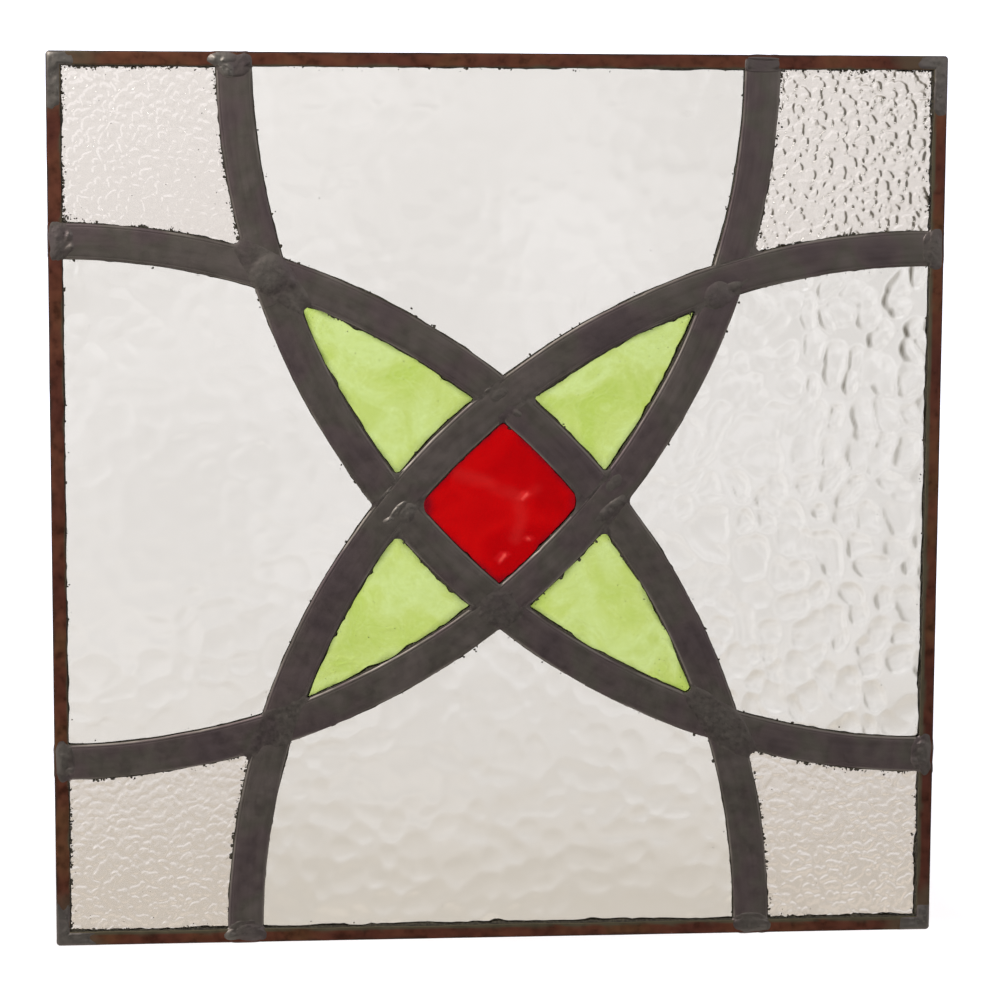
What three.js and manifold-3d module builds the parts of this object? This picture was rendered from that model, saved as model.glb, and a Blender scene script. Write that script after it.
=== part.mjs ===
// Square leaded light: thirteen panes of art glass held in curved lead cames, inside a copper channel.
// Four lead curves, each struck from near a corner of the square, cross to make a red centre,
// four green petals, four clear lights on the sides and four textured lights in the corners.
//
// Millimetres. X runs to the right as the panel is looked at, Z is up, and the front faces -Y.
// The origin is the middle of the sill edge, halfway through the panel's thickness.

import * as THREE from "three";
import { mergeVertices } from "three/addons/utils/BufferGeometryUtils.js";
import Module from "manifold-3d";

const wasm = await Module();
wasm.setup();

// ---------------------------------------------------------------- driving dimensions

const SIDE = 406;             // outer side of the square: 16 in
const DEPTH = 6;              // cames and channel, front face to back face
const GAP = 0.3;              // left between solids that touch in the real panel

const CAME_FACE = 15.9;       // 5/8 in flat lead came
const CAME_HEART = 1.8;       // the web between the two leaves
const CAME_LEAF = 0.9;        // thickness of a leaf in the middle
const CAME_FLAT = 9;          // width of the flat along the middle of a leaf
const CAME_CROWN = 0.3;       // how far the leaf's face falls from the flat to its edges

const CHANNEL_FACE = 6.35;    // 1/4 in copper U channel
const CHANNEL_WALL = 0.8;
const CHANNEL_ROUND = 0.6;    // outer edges of the channel

const GLASS = 3.4;            // thickness of the panes
const GLASS_PLAY = 0.5;       // cement space between a pane's edge and the metal

const SOLDER_RISE = 0.9;      // height of a soldered joint above the metal
const CROSSING_SOLDER = 19;   // diameter of the puddle where two curves cross
const RIM_SOLDER = 13;        // length of the solder where a curve meets the channel
const CORNER_SOLDER = 24;     // reach of the solder along each arm of a corner

const STEP = 16;              // longest straight stretch of a curve
const TAIL = 14;              // how far one came runs on past the upper left crossing

// The curves were set out by hand: each centre is a little inside its corner, and the radii differ.
const ARCS = {
  top_left: { x: -1, y: 1, inset: [5.3, 4.9], radius: 315.7 },
  top_right: { x: 1, y: 1, inset: [0.8, 0.2], radius: 322.2 },
  bottom_left: { x: -1, y: -1, inset: [4.1, 4.9], radius: 317.0 },
  bottom_right: { x: 1, y: -1, inset: [7.3, 6.5], radius: 312.1 },
};

const HALF = SIDE / 2;
const FACE = DEPTH / 2;       // height of the metal's faces above the middle plane
const CUTTER = 4 * DEPTH;     // depth of the shapes that only cut
const QUARTER = Math.PI / 2;

for (const arc of Object.values(ARCS)) {
  arc.centre = new THREE.Vector2(arc.x * (HALF - arc.inset[0]), arc.y * (HALF - arc.inset[1]));
}

// ---------------------------------------------------------------- materials

const metal = (color, roughness) => new THREE.MeshStandardMaterial({ color, roughness, metalness: 0.85 });
const glass = (color, opacity, roughness) =>
  new THREE.MeshStandardMaterial({ color, opacity, roughness, transparent: opacity < 1 });

const finishes = {
  lead: () => metal("#57514e", 0.55),
  copper: () => metal("#6b3a28", 0.5),
  solder: () => metal("#8b8a84", 0.45),
  hammered: () => glass("#e6e2dc", 0.35, 0.12),
  granite: () => glass("#dfd8d0", 0.45, 0.3),
  green: () => glass("#c0d573", 0.8, 0.2),
  red: () => glass("#be0c10", 0.85, 0.15),
};

// ---------------------------------------------------------------- solids and meshes

/** A three.js geometry as a manifold solid. */
function solidOf(geometry) {
  const bare = geometry.index ? geometry.toNonIndexed() : geometry.clone();
  bare.deleteAttribute("normal");
  bare.deleteAttribute("uv");
  const merged = mergeVertices(bare, 1e-4);
  const vertProperties = Float32Array.from(merged.attributes.position.array);
  const triVerts = Uint32Array.from(merged.index.array);
  return new wasm.Manifold(new wasm.Mesh({ numProp: 3, vertProperties, triVerts }));
}

/** A manifold solid as a named three.js mesh. */
function meshOf(name, solid, finish) {
  const { vertProperties, triVerts } = solid.getMesh();
  const geometry = new THREE.BufferGeometry();
  geometry.setAttribute("position", new THREE.BufferAttribute(Float32Array.from(vertProperties), 3));
  geometry.setIndex(new THREE.BufferAttribute(Uint32Array.from(triVerts), 1));
  geometry.computeVertexNormals();
  const mesh = new THREE.Mesh(geometry, finishes[finish]());
  mesh.name = name;
  return mesh;
}

/** A slab of a flat shape, `depth` thick, centred on the panel's middle plane. */
function slab(shape, depth, curveSegments = 12) {
  const geometry = new THREE.ExtrudeGeometry(shape, { depth, curveSegments, bevelEnabled: false });
  return solidOf(geometry.translate(0, 0, -depth / 2));
}

/** A square plate about the panel's centre. */
function squarePlate(side, depth) {
  return solidOf(new THREE.BoxGeometry(side, side, depth));
}

// ---------------------------------------------------------------- the four curves

/** The straight steps needed round a full circle. */
const stepsRound = (radius) => 4 * Math.ceil((QUARTER * radius) / STEP);

/** A round slab about an arc's centre. */
function disc(arc, radius, depth) {
  const shape = new THREE.Shape().absarc(arc.centre.x, arc.centre.y, radius, 0, 4 * QUARTER);
  return slab(shape, depth, stepsRound(radius));
}

/** The band that an arc's came fills, `margin` wider on each side, to cut its neighbours back. */
function envelope(arc, margin) {
  const reach = CAME_FACE / 2 + margin;
  return disc(arc, arc.radius + reach, CUTTER).subtract(disc(arc, arc.radius - reach, 2 * CUTTER));
}

/** Where two arcs cross, on the side of the panel that (sideX, sideY) points to. */
function crossing(first, second, sideX, sideY) {
  const between = second.centre.clone().sub(first.centre);
  const distance = between.length();
  const along = (distance ** 2 + first.radius ** 2 - second.radius ** 2) / (2 * distance);
  const across = Math.sqrt(first.radius ** 2 - along ** 2);
  const unit = between.divideScalar(distance);
  const foot = first.centre.clone().addScaledVector(unit, along);
  const normal = new THREE.Vector2(-unit.y, unit.x);
  const sign = Math.sign(normal.x * sideX + normal.y * sideY);
  return foot.addScaledVector(normal, sign * across);
}

const { top_left: TL, top_right: TR, bottom_left: BL, bottom_right: BR } = ARCS;

const CROSSINGS = {
  upper_left: crossing(TR, BL, -1, 1),
  upper_right: crossing(TL, BR, 1, 1),
  lower_left: crossing(TL, BR, -1, -1),
  lower_right: crossing(TR, BL, 1, -1),
  top: crossing(BL, BR, 0, 1),
  right: crossing(TL, BL, 1, 0),
  bottom: crossing(TL, TR, 0, -1),
  left: crossing(TR, BR, -1, 0),
};

/** How far along its arc a point lies: the turn about the centre, from the arc's middle, anticlockwise. */
function turnAt(arc, point) {
  const spoke = point.clone().sub(arc.centre);
  const middle = new THREE.Vector2(-arc.x, -arc.y);
  return Math.atan2(middle.cross(spoke), middle.dot(spoke));
}

/** Where an arc meets the rim: on its side edge, or on its top or sill edge. */
function rimPoint(arc, edge) {
  const lip = HALF - CHANNEL_FACE;
  const spoke = new THREE.Vector2(arc.x * lip, arc.y * lip).sub(arc.centre);
  const reach = (offset) => Math.sqrt(arc.radius ** 2 - offset ** 2);
  if (edge === "side") return new THREE.Vector2(arc.x * lip, arc.centre.y - arc.y * reach(spoke.x));
  return new THREE.Vector2(arc.centre.x - arc.x * reach(spoke.y), arc.y * lip);
}

// ---------------------------------------------------------------- copper channel

/** Section of the U channel: X runs inwards from the panel's edge, Y is depth. */
function channelSection() {
  const slot = FACE - CHANNEL_WALL;
  const shape = new THREE.Shape();
  shape.moveTo(CHANNEL_ROUND, FACE);
  shape.quadraticCurveTo(0, FACE, 0, FACE - CHANNEL_ROUND);
  shape.lineTo(0, CHANNEL_ROUND - FACE);
  shape.quadraticCurveTo(0, -FACE, CHANNEL_ROUND, -FACE);
  shape.lineTo(CHANNEL_FACE, -FACE);
  shape.lineTo(CHANNEL_FACE, -slot);
  shape.lineTo(CHANNEL_WALL, -slot);
  shape.lineTo(CHANNEL_WALL, slot);
  shape.lineTo(CHANNEL_FACE, slot);
  shape.lineTo(CHANNEL_FACE, FACE);
  shape.closePath();
  return shape;
}

/** The sill length of the channel, mitred at both ends. */
function channelLength() {
  const extrusion = { depth: SIDE, curveSegments: 3, bevelEnabled: false };
  const bar = new THREE.ExtrudeGeometry(channelSection(), extrusion);
  const inwards = new THREE.Vector3(0, 1, 0);
  const outOfPanel = new THREE.Vector3(0, 0, 1);
  const alongSill = new THREE.Vector3(1, 0, 0);
  bar.applyMatrix4(new THREE.Matrix4().makeBasis(inwards, outOfPanel, alongSill));
  bar.translate(-HALF, -HALF, 0);
  const mitred = solidOf(bar).trimByPlane([Math.SQRT1_2, -Math.SQRT1_2, 0], GAP / 2);
  return mitred.trimByPlane([-Math.SQRT1_2, -Math.SQRT1_2, 0], GAP / 2);
}

function channels() {
  const sill = channelLength();
  return ["bottom", "right", "top", "left"].map((side, turns) => {
    const mesh = meshOf(`channel_${side}`, sill, "copper");
    mesh.rotation.z = turns * QUARTER;
    return mesh;
  });
}

// ---------------------------------------------------------------- lead cames

/** Section of a flat came: two leaves with sloping margins, and the heart. X is depth, Y runs across. */
function cameSection() {
  const half = CAME_FACE / 2;
  const heart = CAME_HEART / 2;
  const edge = FACE - CAME_CROWN;
  const slot = FACE - CAME_LEAF;
  const quarter = [[slot, heart], [slot, half], [edge, half], [FACE, CAME_FLAT / 2]];
  const front = [...quarter, ...quarter.toReversed().map(([depth, across]) => [depth, -across])];
  const back = front.map(([depth, across]) => [-depth, -across]);
  return new THREE.Shape([...front, ...back].map(([depth, across]) => new THREE.Vector2(depth, across)));
}

/** The line that a came follows: part of an arc, between two turns about its centre. */
class CameLine extends THREE.Curve {
  constructor(arc, from, to) {
    super();
    this.arc = arc;
    this.start = Math.atan2(-arc.y, -arc.x) + from;
    this.sweep = to - from;
  }

  getPoint(t, target = new THREE.Vector3()) {
    const { centre, radius } = this.arc;
    const angle = this.start + this.sweep * t;
    return target.set(centre.x + radius * Math.cos(angle), centre.y + radius * Math.sin(angle), 0);
  }
}

const insideChannel = squarePlate(SIDE - 2 * (CHANNEL_FACE + GAP), CUTTER);

/** One length of came between two turns of its arc, cut to the channel and coped to the cames it butts. */
function came(name, arc, from, to, butts) {
  const line = new CameLine(arc, from, to);
  const steps = Math.ceil(((to - from) * arc.radius) / STEP);
  const swept = new THREE.ExtrudeGeometry(cameSection(), { steps, extrudePath: line });
  const cut = butts.reduce((solid, other) => solid.subtract(envelope(other, GAP)), solidOf(swept));
  return meshOf(name, cut.intersect(insideChannel), "lead");
}

/**
 * The thirteen lengths of came. The bottom right curve is one length. The other three are cut where
 * they meet a curve that runs through, and the upper left crossing hides a joint just past it.
 */
function cames() {
  const end = QUARTER / 2 + 2 * CHANNEL_FACE / TR.radius;
  const at = (arc, name) => turnAt(arc, CROSSINGS[name]);
  const tail = at(TR, "upper_left") + TAIL / TR.radius;
  const afterTail = tail + GAP / TR.radius;
  return [
    came("came_bottom_right", BR, -end, end, []),
    came("came_top_left_to_left_rim", TL, -end, at(TL, "lower_left"), [BR]),
    came("came_top_left_middle", TL, at(TL, "lower_left"), at(TL, "upper_right"), [BR]),
    came("came_top_left_to_top_rim", TL, at(TL, "upper_right"), end, [BR]),
    came("came_top_right_to_top_rim", TR, -end, tail, []),
    came("came_top_right_upper_petal", TR, afterTail, at(TR, "left"), [BR]),
    came("came_top_right_centre", TR, at(TR, "left"), at(TR, "bottom"), [BR, TL]),
    came("came_top_right_lower_petal", TR, at(TR, "bottom"), at(TR, "lower_right"), [TL, BL]),
    came("came_top_right_to_right_rim", TR, at(TR, "lower_right"), end, [BL]),
    came("came_bottom_left_to_sill", BL, -end, at(BL, "right"), [TL]),
    came("came_bottom_left_centre", BL, at(BL, "right"), at(BL, "top"), [TL, BR]),
    came("came_bottom_left_upper_petal", BL, at(BL, "top"), at(BL, "upper_left"), [BR, TR]),
    came("came_bottom_left_to_left_rim", BL, at(BL, "upper_left"), end, [TR]),
  ];
}

// ---------------------------------------------------------------- glass

const sheet = squarePlate(SIDE - 2 * (CHANNEL_WALL + GLASS_PLAY), GLASS);

/** One pane: the part of the glass inside the circles of the listed arcs and outside the others. */
function pane(name, circles, finish) {
  const margin = CAME_HEART / 2 + GLASS_PLAY;
  let solid = sheet;
  for (const arc of Object.values(ARCS)) {
    const within = circles.includes(arc);
    const cutter = disc(arc, arc.radius + (within ? -margin : margin), CUTTER);
    solid = within ? solid.intersect(cutter) : solid.subtract(cutter);
  }
  return meshOf(name, solid, finish);
}

function panes() {
  return [
    pane("pane_red_centre", [TL, TR, BL, BR], "red"),
    pane("pane_green_upper_left", [TL, TR, BL], "green"),
    pane("pane_green_upper_right", [TL, TR, BR], "green"),
    pane("pane_green_lower_left", [TL, BL, BR], "green"),
    pane("pane_green_lower_right", [TR, BL, BR], "green"),
    pane("pane_hammered_top", [TL, TR], "hammered"),
    pane("pane_hammered_right", [TR, BR], "hammered"),
    pane("pane_hammered_bottom", [BL, BR], "hammered"),
    pane("pane_hammered_left", [TL, BL], "hammered"),
    ...Object.entries(ARCS).map(([corner, arc]) => pane(`pane_granite_${corner}`, [arc], "granite")),
  ];
}

// ---------------------------------------------------------------- soldered joints on the front

/** A low pad of solder over an outline: rounded at its rim, flat below, just clear of the metal. */
function solderPad(name, outline, place, curveSegments) {
  const round = SOLDER_RISE - GAP / 2;
  const pad = new THREE.ExtrudeGeometry(outline, {
    depth: GAP,
    curveSegments,
    bevelThickness: round,
    bevelSize: 2 * round,
    bevelOffset: -2 * round,
    bevelSegments: 2,
  });
  const solid = solidOf(pad.translate(0, 0, -GAP / 2)).trimByPlane([0, 0, 1], 0);
  const mesh = meshOf(name, solid, "solder");
  mesh.position.set(place.x, place.y, FACE + GAP);
  return mesh;
}

/** A rectangle with round corners, between two opposite corners. */
function roundedPatch(low, high, round) {
  const shape = new THREE.Shape();
  shape.absarc(high.x - round, high.y - round, round, 0, QUARTER);
  shape.absarc(low.x + round, high.y - round, round, QUARTER, 2 * QUARTER);
  shape.absarc(low.x + round, low.y + round, round, 2 * QUARTER, 3 * QUARTER);
  shape.absarc(high.x - round, low.y + round, round, 3 * QUARTER, 4 * QUARTER);
  shape.closePath();
  return shape;
}

/** The puddle where two curves cross. */
function crossingSolder(name, place) {
  const reach = CROSSING_SOLDER / 2;
  const high = new THREE.Vector2(reach, reach);
  const outline = roundedPatch(high.clone().negate(), high, 0.8 * reach);
  return solderPad(`solder_crossing_${name}`, outline, place, 2);
}

/** The patch that joins a curve's end to the channel, from the rim's outer edge inwards. */
function rimSolder(name, arc, edge) {
  const across = CAME_FACE / 2 + GAP;
  const outwards = CHANNEL_FACE - CHANNEL_ROUND;
  const inwards = RIM_SOLDER - outwards;
  const low = new THREE.Vector2(-inwards, -across);
  const high = new THREE.Vector2(outwards, across);
  const pad = solderPad(`solder_rim_${name}`, roundedPatch(low, high, 3), rimPoint(arc, edge), 1);
  pad.rotation.z = edge === "side" ? (1 - arc.x) * QUARTER : arc.y * QUARTER;
  return pad;
}

/** The L of solder over a mitred corner of the channel. */
function cornerSolder(corner, arc) {
  const near = CHANNEL_ROUND;
  const far = CHANNEL_FACE;
  const shape = new THREE.Shape();
  shape.moveTo(near, near);
  shape.lineTo(CORNER_SOLDER, near);
  shape.quadraticCurveTo(CORNER_SOLDER + 2, far / 2, CORNER_SOLDER, far);
  shape.lineTo(far + 1, far);
  shape.lineTo(far, far + 1);
  shape.lineTo(far, CORNER_SOLDER);
  shape.quadraticCurveTo(far / 2, CORNER_SOLDER + 2, near, CORNER_SOLDER);
  shape.closePath();
  const pad = solderPad(`solder_corner_${corner}`, shape, { x: arc.x * HALF, y: arc.y * HALF }, 3);
  pad.rotation.z = Math.atan2(-arc.y, -arc.x) - QUARTER / 2;
  return pad;
}

function solderedJoints() {
  const joints = Object.entries(CROSSINGS).map(([name, place]) => crossingSolder(name, place));
  for (const [corner, arc] of Object.entries(ARCS)) {
    const rail = `${arc.y > 0 ? "top" : "bottom"}_${arc.x > 0 ? "left" : "right"}`;
    const stile = `${arc.x > 0 ? "right" : "left"}_${arc.y > 0 ? "lower" : "upper"}`;
    joints.push(rimSolder(rail, arc, "rail"), rimSolder(stile, arc, "side"), cornerSolder(corner, arc));
  }
  return joints;
}

// ---------------------------------------------------------------- the panel, stood upright

const panel = new THREE.Group();
panel.add(...channels(), ...cames(), ...panes(), ...solderedJoints());
panel.rotation.x = QUARTER;
panel.position.z = HALF;

const leadedLight = new THREE.Group();
leadedLight.add(panel);

export default leadedLight;
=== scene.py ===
"""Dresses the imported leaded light: relief glass, worn lead cames, a copper channel, solder and cement.

Shapes are worked out in millimetres in the panel's own plane: x to the right and y up from its middle,
and d out of the plane towards the front. `place` turns them into the frame's metres (front along -Y).
"""

import math

import bmesh
import bpy
import numpy as np
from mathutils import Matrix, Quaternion, Vector


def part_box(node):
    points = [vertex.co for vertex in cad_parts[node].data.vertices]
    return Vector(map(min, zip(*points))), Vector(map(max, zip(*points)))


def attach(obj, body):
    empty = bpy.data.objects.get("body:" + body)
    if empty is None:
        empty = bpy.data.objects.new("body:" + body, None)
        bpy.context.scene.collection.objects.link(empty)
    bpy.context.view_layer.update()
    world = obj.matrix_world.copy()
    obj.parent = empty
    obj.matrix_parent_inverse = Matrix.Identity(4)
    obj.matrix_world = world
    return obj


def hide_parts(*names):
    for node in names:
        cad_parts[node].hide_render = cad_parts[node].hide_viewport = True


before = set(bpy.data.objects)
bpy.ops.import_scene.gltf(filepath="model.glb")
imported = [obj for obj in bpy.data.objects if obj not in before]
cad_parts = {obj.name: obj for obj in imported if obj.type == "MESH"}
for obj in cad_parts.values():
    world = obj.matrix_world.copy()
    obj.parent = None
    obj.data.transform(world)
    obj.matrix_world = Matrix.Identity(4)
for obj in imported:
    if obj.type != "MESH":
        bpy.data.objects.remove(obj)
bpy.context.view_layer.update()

# ---------------------------------------------------------------- sizes, in millimetres

MM = 0.001


def box_mm(node):
    """A CAD node's lowest and highest corners, in millimetres."""
    low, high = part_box(node)
    return np.array(low) / MM, np.array(high) / MM


HALF = box_mm("channel_right")[1][0]          # half the side of the square
FACE = box_mm("channel_right")[1][1]          # height of the metal's faces above the middle plane
CHANNEL_FACE = HALF - box_mm("channel_right")[0][0]
GLASS = box_mm("pane_red_centre")[1][1]       # half the thickness of a pane
MIDDLE = (box_mm("channel_top")[1][2] + box_mm("channel_bottom")[0][2]) / 2

CAME_FACE = 15.9
CAME_HEART = 1.8
CAME_LEAF = 0.9
CHANNEL_WALL = 0.8
GLASS_PLAY = 0.5

# Each curve: the corner that it is struck from, how far inside the corner its centre is, and its radius.
CURVES = {
    "TL": {"corner": (-1, 1), "inset": (5.3, 4.9), "radius": 315.7},
    "TR": {"corner": (1, 1), "inset": (0.8, 0.2), "radius": 322.2},
    "BL": {"corner": (-1, -1), "inset": (4.1, 4.9), "radius": 317.0},
    "BR": {"corner": (1, -1), "inset": (7.3, 6.5), "radius": 312.1},
}
EDGES = {"left": (0, -1), "right": (0, 1), "bottom": (1, -1), "top": (1, 1)}

for curve in CURVES.values():
    curve["centre"] = np.array(curve["corner"]) * (HALF - np.array(curve["inset"]))

# ---------------------------------------------------------------- plane geometry


def circle(name, offset=0.0):
    """A curve's circle as (centre, radius), with its radius made `offset` larger."""
    return CURVES[name]["centre"], CURVES[name]["radius"] + offset


def edge_line(name, inset):
    """A rim's straight line as (axis, value): the coordinate that stays the same along it."""
    axis, side = EDGES[name]
    return axis, side * (HALF - inset)


def is_line(shape):
    """Lines are (axis, value), and circles (centre, radius)."""
    return np.ndim(shape[0]) == 0


def meet(first, second, near):
    """The point where two circles, two lines or a circle and a line cross, the one nearest to `near`."""
    if is_line(first) and is_line(second):
        point = np.zeros(2)
        point[first[0]] = first[1]
        point[second[0]] = second[1]
        return point
    if is_line(first):
        first, second = second, first
    centre, radius = first
    if is_line(second):
        axis, value = second
        foot = centre.copy()
        foot[axis] = value
        across = np.zeros(2)
        across[1 - axis] = math.sqrt(radius ** 2 - (value - centre[axis]) ** 2)
    else:
        between = second[0] - centre
        distance = np.hypot(*between)
        unit = between / distance
        along = (distance ** 2 + radius ** 2 - second[1] ** 2) / (2 * distance)
        foot = centre + unit * along
        across = np.array([-unit[1], unit[0]]) * math.sqrt(radius ** 2 - along ** 2)
    return min((foot + across, foot - across), key=lambda point: np.hypot(*(point - near)))


def trace(shape, start, end, t):
    """Points of a circle or a line from `start` to `end`: c + r (cos a, sin a) with a running evenly."""
    if is_line(shape):
        return start + (end - start) * t[:, None]
    centre, radius = shape
    first = np.arctan2(*(start - centre)[::-1])
    turn = np.arctan2(*(end - centre)[::-1]) - first
    turn = (turn + np.pi) % (2 * np.pi) - np.pi
    angle = first + turn * t
    return centre + radius * np.stack([np.cos(angle), np.sin(angle)], axis=-1)


def crossing(first, second, side):
    """Where two of the curves cross, on the side of the panel that `side` points to."""
    return meet(circle(first), circle(second), np.array(side) * HALF)


CROSSINGS = {
    "upper_left": crossing("TR", "BL", (-1, 1)),
    "upper_right": crossing("TL", "BR", (1, 1)),
    "lower_left": crossing("TL", "BR", (-1, -1)),
    "lower_right": crossing("TR", "BL", (1, -1)),
    "top": crossing("BL", "BR", (0, 1)),
    "right": crossing("TL", "BL", (1, 0)),
    "bottom": crossing("TL", "TR", (0, -1)),
    "left": crossing("TR", "BR", (-1, 0)),
}

# ---------------------------------------------------------------- noise, as whole arrays


def lattice(seed, *shape):
    """Fixed random numbers from 0 to 1."""
    return np.random.default_rng(seed).random(shape)


def noise(x, y, scale, seed):
    """Smooth noise from -1 to 1: random values on a lattice `scale` apart, blended by 3t^2 - 2t^3."""
    values = lattice(seed, 64, 64)
    u = np.asarray(x) / scale
    v = np.asarray(y) / scale
    i = np.floor(u).astype(int)
    j = np.floor(v).astype(int)
    a = u - i
    b = v - j
    a = a * a * (3 - 2 * a)
    b = b * b * (3 - 2 * b)
    low = values[i % 64, j % 64] * (1 - a) + values[(i + 1) % 64, j % 64] * a
    high = values[i % 64, (j + 1) % 64] * (1 - a) + values[(i + 1) % 64, (j + 1) % 64] * a
    return 2 * (low * (1 - b) + high * b) - 1


def fractal(x, y, scale, seed):
    """Noise at `scale`, plus half as much at half the scale, plus a quarter at a quarter of it."""
    return sum(noise(x, y, scale / 2 ** k, seed + k) / 2 ** k for k in range(3))


def pits(x, y, size, seed, sharpness, scatter):
    """Bowls round scattered centres: the soft minimum over centres c of w |p - c|^2, in cell sizes, where
    each centre has a weight w of its own, 0.6 to 1.4. A cell holds one centre, up to half of `scatter`
    away from its middle. The result is 0 in a bowl and rises to a ridge, rounder if `sharpness` is low.
    """
    shift = (lattice(seed, 64, 64, 2) - 0.5) * scatter
    weight = 0.6 + 0.8 * lattice(seed + 1, 64, 64)
    u = np.asarray(x) / size
    v = np.asarray(y) / size
    i = np.floor(u).astype(int)
    j = np.floor(v).astype(int)
    total = np.zeros(u.shape)
    for di in (-1, 0, 1):
        for dj in (-1, 0, 1):
            cell = shift[(i + di) % 64, (j + dj) % 64]
            away = (u - i - di - 0.5 - cell[..., 0]) ** 2 + (v - j - dj - 0.5 - cell[..., 1]) ** 2
            total += np.exp(-sharpness * away * weight[(i + di) % 64, (j + dj) % 64])
    return -np.log(total) / sharpness


def smooth_step(low, high, x):
    """0 below `low`, 1 above `high`, 3t^2 - 2t^3 between."""
    t = np.clip((x - low) / (high - low), 0, 1)
    return t * t * (3 - 2 * t)


# ---------------------------------------------------------------- meshes from arrays


def place(points):
    """Panel millimetres (x, y, d) as frame metres (x, -d, y above the sill)."""
    points = np.asarray(points, float).reshape(-1, 3)
    return np.stack([points[:, 0], -points[:, 2], points[:, 1] + MIDDLE], axis=-1) * MM


def grid(rows, cols, start=0, close=False):
    """Quads over a rows x cols block of points; `close` joins the last column to the first."""
    index = start + np.arange(rows * cols).reshape(rows, cols)
    if close:
        index = np.concatenate([index, index[:, :1]], axis=1)
    corners = [index[:-1, :-1], index[:-1, 1:], index[1:, 1:], index[1:, :-1]]
    return np.stack([corner.ravel() for corner in corners], axis=-1)


SHARP = math.radians(55)      # a fold sharper than this stays crisp


def mesh_object(name, points, faces, material, attributes):
    """A mesh object from points in metres and `faces`, a list of arrays with one row of corners a face."""
    mesh = bpy.data.meshes.new(name)
    corners = np.concatenate([block.ravel() for block in faces])
    sizes = np.concatenate([np.full(len(block), block.shape[1]) for block in faces])
    mesh.vertices.add(len(points))
    mesh.vertices.foreach_set("co", points.ravel())
    mesh.loops.add(len(corners))
    mesh.loops.foreach_set("vertex_index", corners)
    mesh.polygons.add(len(sizes))
    mesh.polygons.foreach_set("loop_start", np.cumsum(sizes) - sizes)
    mesh.polygons.foreach_set("use_smooth", np.ones(len(sizes), bool))
    for label, values in attributes.items():
        layer = mesh.attributes.new(label, "FLOAT", "POINT")
        layer.data.foreach_set("value", np.asarray(values, float).ravel())
    mesh.update(calc_edges=True)
    mesh.materials.append(material)
    made = bpy.data.objects.new(name, mesh)
    bpy.context.scene.collection.objects.link(made)
    return made


def make_piece(name, points, faces, material, slot, replaces=(), attributes=None):
    """A piece of the panel, from panel millimetres, riding on the root body."""
    piece = mesh_object(name, place(points), faces, material, attributes or {})
    piece.data.set_sharp_from_angle(angle=SHARP)
    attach(piece, "root")
    if replaces:
        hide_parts(*replaces)
    return piece


def stage_piece(name, points, faces, material, attributes=None):
    """A part of the studio, from points in metres."""
    made = mesh_object(name, points, faces, material, attributes or {})
    return made


def facing_out(points, faces):
    """Turns every face round if the closed mesh is inside out: its volume is a sum of tetrahedra."""
    volume = 0.0
    for block in faces:
        first = points[block[:, 0]]
        for k in range(1, block.shape[1] - 1):
            volume += np.einsum("ij,ij->", first, np.cross(points[block[:, k]], points[block[:, k + 1]]))
    return faces if volume > 0 else [block[:, ::-1] for block in faces]


def swept(rings):
    """A closed section carried along a path: rings is (stations, section points, 3), capped at its ends."""
    stations, around = rings.shape[:2]
    points = rings.reshape(-1, 3)
    caps = np.stack([np.arange(around)[::-1], (stations - 1) * around + np.arange(around)])
    return points, facing_out(points, [grid(stations, around, close=True), caps])


def domed(rings, top, bottom):
    """Closed rings from a top point to a bottom point: quads between rings and a fan at each pole."""
    count, around = rings.shape[:2]
    points = np.concatenate([rings.reshape(-1, 3), [top, bottom]])
    first = np.arange(around)
    last = (count - 1) * around + first
    top_fan = np.stack([np.roll(first, -1), first, np.full(around, count * around)], axis=-1)
    bottom_fan = np.stack([last, np.roll(last, -1), np.full(around, count * around + 1)], axis=-1)
    return points, facing_out(points, [grid(count, around, close=True), top_fan, bottom_fan])


# ---------------------------------------------------------------- materials


def linear(hexcode):
    """An sRGB hex colour as linear RGBA."""
    channels = np.array([int(hexcode[i:i + 2], 16) for i in (1, 3, 5)]) / 255
    low = channels / 12.92
    high = ((channels + 0.055) / 1.055) ** 2.4
    return (*np.where(channels <= 0.04045, low, high), 1.0)


def add_node(material, kind, inputs=None, stops=None, **settings):
    """Adds a shader node. `inputs` maps a socket to a value or to another node's output, `stops` fills a
    colour ramp with (position, hex colour) pairs, and the rest are the node's own settings."""
    tree = material.node_tree
    made = tree.nodes.new(f"ShaderNode{kind}")
    for key, value in settings.items():
        setattr(made, key, value)
    for socket, value in (inputs or {}).items():
        if isinstance(value, bpy.types.NodeSocket):
            tree.links.new(value, made.inputs[socket])
        else:
            made.inputs[socket].default_value = value
    for index, (position, colour) in enumerate(stops or ()):
        elements = made.color_ramp.elements
        element = elements[index] if index < 2 else elements.new(position)
        element.position = position
        element.color = linear(colour)
    return made


def new_material(name):
    """An empty node material and its object coordinates."""
    material = bpy.data.materials.new(name)
    material.use_nodes = True
    material.node_tree.nodes.clear()
    return material, add_node(material, "TexCoord").outputs["Object"]


def per_mm(size):
    """A noise scale, in features a metre, for features `size` millimetres across."""
    return 1000 / size


def mottle(material, where, size, stops, sockets):
    """Patches about `size` mm across: the noise, and the colours of a ramp that it runs through."""
    cloud = add_node(material, "TexNoise", {"Vector": where, "Scale": per_mm(size), **sockets}).outputs["Fac"]
    return cloud, add_node(material, "ValToRGB", {"Fac": cloud}, stops=stops).outputs["Color"]


def stain(material, label, under, hexcode):
    """A colour laid over another, as thick as the piece's own attribute says at each point."""
    share = add_node(material, "Attribute", attribute_name=label).outputs["Fac"]
    return add_node(material, "Mix", {0: share, 6: under, 7: linear(hexcode)}, data_type="RGBA").outputs[2]


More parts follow.
